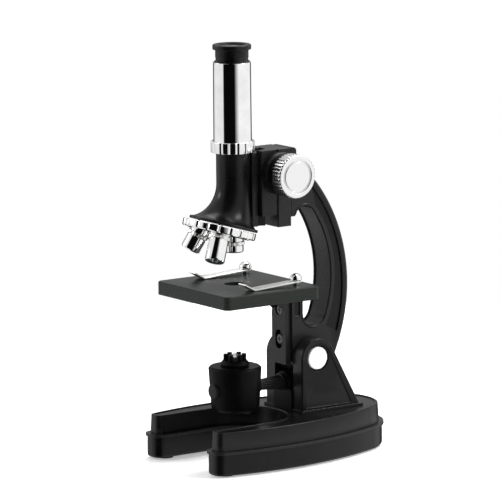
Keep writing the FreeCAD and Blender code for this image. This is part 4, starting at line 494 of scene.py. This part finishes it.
def make_body_tube():
    """The neck, its flare in steps from upright to tilted, and the lip over the nosepiece."""
    loops = []
    neck = ((-4.2, NECK_TOP), (-0.3, NECK_TOP), (-0.08, 163.7), (0, 163.5), (0, 156), (0, 150))
    for grow, z in neck:
        front = Vector((0, AXIS_Y - NECK_RADIUS, z))
        back = Vector((0, AXIS_Y + NECK_RADIUS, z))
        loops.append(ring_between(front, back, grow))
    steps = 30
    flare_turn = math.radians(82)
    for step in range(steps + 1):
        loops.append(ring_between(*flare_ends(flare_turn * step / steps)))
    front, back = flare_ends(math.pi / 2)
    for grow, lift in ((-0.25, 0.42), (0.0, 0.25), (0.05, 0.0), (0.05, -0.8), (-0.2, -1.1),
                       (-13.4, -1.1)):
        loops.append(ring_between(front, back, grow, lift))
    points, faces = bridge(loops)
    finish_mesh("flared_tube", points, faces, ENAMEL, "carriage", ["body_tube"],
                40)


# ---------------------------------------------------------------- nosepiece

def objective_pose(turn):
    """The seat of the objective at a turn of the nosepiece, looking out along its axis."""
    return NOSE @ spin("Z", turn) @ shift(0, NOSE_RING, 0) @ Matrix.Rotation(TILT, 4, "X")


def make_turret():
    rim = 19.5
    lathe("nosepiece", [
        (1.85, -2.15), (15.8, -2.15, 0.5), (16.9, -1.65, 0.4), (19.0, -1.65, 0.3),
        (rim, -1.1, 0.3), (rim, 2.15, 0.4), (1.85, 2.15),
    ], NOSE, CHROME, "turret", ["turret_disc"], slices=480, closed=True,
        wave=grooves(20, 0.5, 10, radii=(rim - 0.7, math.inf)), sharp=25)


def make_seat(label, turn):
    lathe(f"{label}_seat", [(3.1, -4.0), (5.2, -4.0, 0.2), (5.2, -0.8), (3.1, -0.8)],
          objective_pose(turn), CHROME, "turret", (), closed=True)


def make_objective(label, turn, length):
    pose = objective_pose(turn)
    tip = -length
    lathe(f"{label}_barrel", [
        (3.0, tip + 1.2), (2.4, tip + 1.2), (2.4, tip + 0.5), (3.9, tip, 0.2), (4.8, tip, 0.3),
        (5.2, tip + 0.6, 0.3), (5.2, -6.3, 0.1), (5.0, -6.2, 0.05), (5.0, -6.0, 0.05),
        (5.65, -5.8, 0.15), (5.65, -4.05, 0.2), (3.0, -4.05),
    ], pose, CHROME, "turret", [f"{label}_objective"], slices=192, closed=True,
        wave=grooves(48, 0.12, radii=(5.5, math.inf), heights=(-5.7, -4.2)), sharp=30)
    lathe(f"{label}_glass", [
        (0, tip + 1.3), (2.95, tip + 1.3), (2.95, tip + 2.6), (1.5, tip + 3.0), (0, tip + 3.1),
    ], pose, DARK_LENS, "turret", [f"{label}_lens"], slices=48)


# ---------------------------------------------------------------- focus knobs

def make_knob(label, side):
    rim = KNOB_RADIUS
    lathe(f"{label}_knob", [
        (2.05, -2.2), (4.5, -2.2, 0.3), (4.6, 0, 0.2), (rim - 0.9, 0, 0.4), (rim, 0.8, 0.3),
        (rim, 7.2, 0.3), (rim - 0.6, 7.8, 0.3), (rim - 1.3, 8.0, 0.2), (rim * 0.77, 8.0, 0.12),
        (rim * 0.755, 6.4, 0.1), (rim * 0.675, 6.4, 0.1), (rim * 0.66, 7.95, 0.15),
        (rim * 0.10, 7.8), (0, 7.8),
    ], shift(side * KNOB_X, FOCUS_Y, FOCUS_Z) @ spin("Y", 90 * side), SPUN, "focus_drive",
        [f"{label}_focus_knob"], slices=432,
        wave=grooves(36, 0.55, 3, radii=(rim - 0.75, math.inf), heights=(0.4, 7.7)), sharp=30)


def make_housing(label, side):
    """Both housings are one CAD node, which the right one replaces."""
    piece = lathe(f"{label}_housing", [
        (2.1, 0), (11.3, 0), (11.3, 4.6, 1.4), (9.7, 6.0, 0.5), (6.0, 6.0, 0.3), (5.6, 5.5, 0.3),
        (2.1, 5.5),
    ], shift(side * HOUSING_X, FOCUS_Y, FOCUS_Z) @ spin("Y", 90 * side), PLASTIC, "arm", (),
        slices=128, closed=True)
    if side > 0:
        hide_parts("shaft_housings")


# ---------------------------------------------------------------- clips

def make_clip_stud(label, side):
    """A shouldered pin through the stage, with a groove for the spring under its ball head."""
    radius, height = 3.2, 3.1
    ball = [(radius * math.cos(a), height + radius * math.sin(a))
            for a in (math.radians(d) for d in range(-8, 90, 7))]
    ball.append((0, height + radius))
    lathe(f"{label}_stud", [
        (0, -8.4), (2.2, -8.4, 0.2), (2.2, -7.15), (1.25, -7.15), (1.25, 0.15), (2.0, 0.15, 0.1),
        (2.0, 1.66), (1.24, 1.68), (1.24, 2.32), (2.5, 2.32, 0.1), (3.0, 2.4, 0.1),
    ] + ball, shift(side * CLIP_X, CLIP_Y, STAGE_TOP), CHROME, f"{label}_clip",
        [f"{label}_clip_stud"], slices=64, sharp=50)


def make_clip_spring(label, side):
    """A bent strip with bevelled edges, from its root at the stud to a turned-up tip."""
    side_view = rounded([(2.6, 1.7), (-3.2, 1.7, 4.0), (-28.3, 0.25, 1.2), (-34.3, 3.7)], steps=6)
    root_half, middle_half, tip_half = 2.6, 3.5, 3.1
    bevel_in, bevel_up = 0.12, 0.08
    loops = []
    for index, (place, along) in enumerate(headings(side_view)):
        up = Vector((along.y, -along.x))
        half = middle_half
        if index == 0:
            half = root_half
        elif index == len(side_view) - 1:
            half = tip_half
        section = [(-half, bevel_up), (-half + bevel_in, 0), (half - bevel_in, 0), (half, bevel_up),
                   (half, CLIP_THICK - bevel_up), (half - bevel_in, CLIP_THICK),
                   (-half + bevel_in, CLIP_THICK), (-half, CLIP_THICK - bevel_up)]
        loop = []
        for dx, rise in section:
            spot = place + up * rise
            loop.append((side * CLIP_X + dx, CLIP_Y + spot.x, STAGE_TOP + spot.y))
        loops.append(loop)
    points, faces = bridge(loops)
    finish_mesh(f"{label}_strip", points, faces, SPRING, f"{label}_clip",
                [f"{label}_clip_spring"], 40)


# ---------------------------------------------------------------- pivot discs and arm trim

def make_pivot_disc(label, side):
    """Both discs are one CAD node, which the right one replaces."""
    piece = lathe(f"{label}_disc", [
        (0, 0), (5.95, 0), (5.95, 1.5, 0.25), (4.6, 1.6), (0, 1.7),
    ], shift(side * PIVOT_X, PIVOT_Y, PIVOT_Z) @ spin("Y", 90 * side), WHITE, "base", ())
    if side > 0:
        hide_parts("pivot_caps")


def throat_path():
    """The edge of the arm's opening, as (y, z), from its foot round to its top."""
    path = [(10.97, 86.0)]
    path += arc((18.97, 75.0), 8.0, 180, 340, 24)
    path += arc((-32.2, 94.2), 62.65, -20.6, 34.9, 48)
    path += arc((13.47, 126.0), 7.0, 35, 150, 20)
    path.append((7.0, 128.2))
    return path


def make_arm_bead(label, side):
    """A round bead along the arm's opening."""
    across = Vector((1, 0, 0))
    loops = []
    for here, along in headings([(side * BEAD_X, y, z) for y, z in throat_path()]):
        out = along.cross(across).normalized()
        loops.append([here + (out * math.cos(angle) + across * math.sin(angle)) * BEAD_RADIUS
                      for angle in round_angles(12)])
    points, faces = bridge(loops)
    finish_mesh(f"{label}_bead", points, faces, ENAMEL, "arm", (), 60)


# ---------------------------------------------------------------- lamp

LAMP_AXIS = OPTICAL @ shift(0, 0, LAMP_AXLE_Z) @ spin("X", -90)


def make_drum():
    lathe("lamp_case", [
        (9.0, 29.4), (10.1, 29.3), (10.1, 26.8), (11.6, 26.8, 0.6), (12.7, 28.6, 1.5),
        (14.0, 49.4, 0.6), (13.0, 50.4, 0.5), (6.6, 50.4, 0.2), (6.6, 48.9), (12.2, 48.9),
        (12.2, 42.4), (0.6, 42.4), (0.6, 40.8), (9.0, 40.8),
    ], OPTICAL, SATIN, "illuminator", ["lamp_drum"], slices=128, closed=True)
    lathe("lamp_bush", [(2.45, 10.9), (4.2, 10.9), (4.2, 14.4, 0.4), (2.45, 14.4)],
          LAMP_AXIS, SATIN, "illuminator", (), slices=64, closed=True)
    lathe("lamp_boss", [(0, -13.7), (4.25, -13.7, 0.3), (4.25, -11.0), (0, -11.0)],
          LAMP_AXIS, SATIN, "illuminator", (), slices=64)
    lathe("front_cap", [(0, -14.7), (3.85, -14.7, 0.4), (3.85, -13.68), (0, -13.68)],
          LAMP_AXIS, MATTE, "illuminator", ["axle_cap"], slices=64)


def make_axle():
    """The axle that turns the lamp over, with its fluted, widening grip."""
    steps = 12
    grip = [(2.9 + 0.86 * n / steps, 14.6 + 13.6 * n / steps) for n in range(steps + 1)]
    lathe("lamp_grip", [(0, 12.7), (2.4, 12.7), (2.4, 14.6)] + grip + [
        (4.6, 28.35, 0.2), (4.6, 29.5, 0.3), (2.2, 29.5), (2.2, 34.45), (3.4, 34.45, 0.2),
        (3.4, 35.5, 0.3), (0, 35.5),
    ], LAMP_AXIS, MATTE, "illuminator", ["lamp_axle"], slices=168,
        wave=grooves(14, 0.55, 2, radii=(2.8, 4.4), heights=(15.0, 27.9)))


# ---------------------------------------------------------------- camera, light and floor

def make_camera():
    """The view of the photograph, from a fit to the object's corners, rims and discs."""
    data = bpy.data.cameras.new("camera")
    data.sensor_width = 36.0
    data.lens = 333.4
    data.shift_x = 0.0326
    data.shift_y = -0.0117
    data.clip_end = 20.0
    camera = bpy.data.objects.new("camera", data)
    bpy.context.scene.collection.objects.link(camera)
    camera.location = (1.9617, -1.3869, 0.5155)
    target = Vector((0, -0.027, 0.115))
    look = (target - camera.location).to_track_quat("-Z", "Y")
    roll = Matrix.Rotation(math.radians(-0.57), 3, "Z")
    camera.rotation_euler = (look.to_matrix() @ roll).to_euler()
    bpy.context.scene.camera = camera


DARK = 0.003
# Grey levels of the studio's walls, as (degrees round from +X, level): the dark gap in front and
# the narrower one behind give the chrome its black bands.
WALLS = [
    (-180, 0.10), (-172, 0.80), (-150, 0.92), (-92, 0.86), (-87, DARK), (-20, DARK),
    (-8, 0.45), (6, 1.0), (100, 1.0), (110, 0.10), (122, 0.01), (168, 0.01), (180, 0.10),
]
CEILING = 0.48               # least level above the back of the studio
BACK = 100                   # degrees from +X, either way, to where the back starts
WALL_TOP = (0.04, 0.14)      # where the walls fade into the ceiling, as the height of a direction
SOFTBOXES = [                # name, place, width, watts
    ("right_softbox", (0.50, 0.62, 0.85), 0.35, 7.0),
    ("left_softbox", (-0.75, -0.85, 0.50), 0.25, 2.0),
    ("top_softbox", (-0.35, 0.35, 1.1), 0.8, 8.0),
]


def ring_of_walls(nodes, links, turn, walls):
    """The grey level at a turn of 0 to 1 round the studio."""
    ring = nodes.new("ShaderNodeValToRGB")
    stops = ring.color_ramp.elements
    while len(stops) < len(walls):
        stops.new(0.5)
    for stop, (degrees, level) in zip(stops, walls):
        stop.position = (degrees + 180) / 360
        stop.color = (level, level, level, 1)
    links.new(turn, ring.inputs["Fac"])
    return ring.outputs["Color"]


def make_world():
    """White behind the object, and the walls and ceiling for light and reflections."""
    world = bpy.data.worlds.new("studio")
    bpy.context.scene.world = world
    world.use_nodes = True
    nodes = world.node_tree.nodes
    links = world.node_tree.links
    parts = nodes.new("ShaderNodeSeparateXYZ")
    links.new(nodes.new("ShaderNodeTexCoord").outputs["Generated"], parts.inputs["Vector"])
    around = nodes.new("ShaderNodeMath")
    around.operation = "ARCTAN2"
    links.new(parts.outputs["Y"], around.inputs[0])
    links.new(parts.outputs["X"], around.inputs[1])
    turn = ramp(nodes, links, around.outputs["Value"], 0.0, 1.0, -math.pi, math.pi)
    above = [(degrees, max(level, CEILING) if abs(degrees) > BACK else level)
             for degrees, level in WALLS]
    walls = ring_of_walls(nodes, links, turn, WALLS)
    ceiling = ring_of_walls(nodes, links, turn, above)
    height = ramp(nodes, links, parts.outputs["Z"], 0.0, 1.0, *WALL_TOP)
    studio = mix_colours(nodes, links, height, walls, ceiling)
    camera_ray = nodes.new("ShaderNodeLightPath").outputs["Is Camera Ray"]
    seen = mix_colours(nodes, links, camera_ray, studio, (1, 1, 1))
    links.new(seen, nodes["Background"].inputs["Color"])


def make_lights():
    scene = bpy.context.scene
    scene.view_settings.view_transform = "Standard"
    for name, place, width, watts in SOFTBOXES:
        data = bpy.data.lights.new(name, "AREA")
        data.size = width
        data.energy = watts
        lamp = bpy.data.objects.new(name, data)
        scene.collection.objects.link(lamp)
        lamp.location = place
        aim = Vector((0, 0, 0.1)) - Vector(place)
        lamp.rotation_euler = aim.to_track_quat("-Z", "Y").to_euler()


def make_floor():
    """A round table top; polished pieces reflect the studio walls in place of it."""
    radius = 0.45
    below_feet = -0.0001
    rim = [(radius * math.cos(a), radius * math.sin(a), below_feet) for a in round_angles(96)]
    mesh = bpy.data.meshes.new("floor")
    mesh.from_pydata(rim, [], [tuple(range(len(rim)))])
    floor = bpy.data.objects.new("floor", mesh)
    bpy.context.scene.collection.objects.link(floor)
    material, _, _, shader = new_material("floor")
    shader.inputs["Base Color"].default_value = (0.96, 0.96, 0.96, 1)
    shader.inputs["Roughness"].default_value = 0.9
    shader.inputs["Specular IOR Level"].default_value = 0.1
    shader.inputs["Emission Color"].default_value = (1, 1, 1, 1)
    shader.inputs["Emission Strength"].default_value = 0.38
    mesh.materials.append(material)
    floor.visible_glossy = False


# ---------------------------------------------------------------- the whole microscope

OBJECTIVES = (("low", 0, 9.8), ("mid", 120, 14.0), ("high", 240, 17.5))  # name, turn, length
SIDES = (("left", -1), ("right", 1))

dress_cad_nodes()
make_chrome_tube()
make_collar()
make_eyepiece()
make_body_tube()
make_turret()
for label, turn, _ in OBJECTIVES:
    make_seat(label, turn)
for label, turn, length in OBJECTIVES:
    make_objective(label, turn, length)
for label, side in SIDES:
    make_knob(label, side)
    make_clip_stud(label, side)
    make_clip_spring(label, side)
for make in (make_housing, make_pivot_disc, make_arm_bead):
    for label, side in SIDES:
        make(label, side)
make_drum()
make_axle()
make_floor()
make_world()
make_lights()
make_camera()
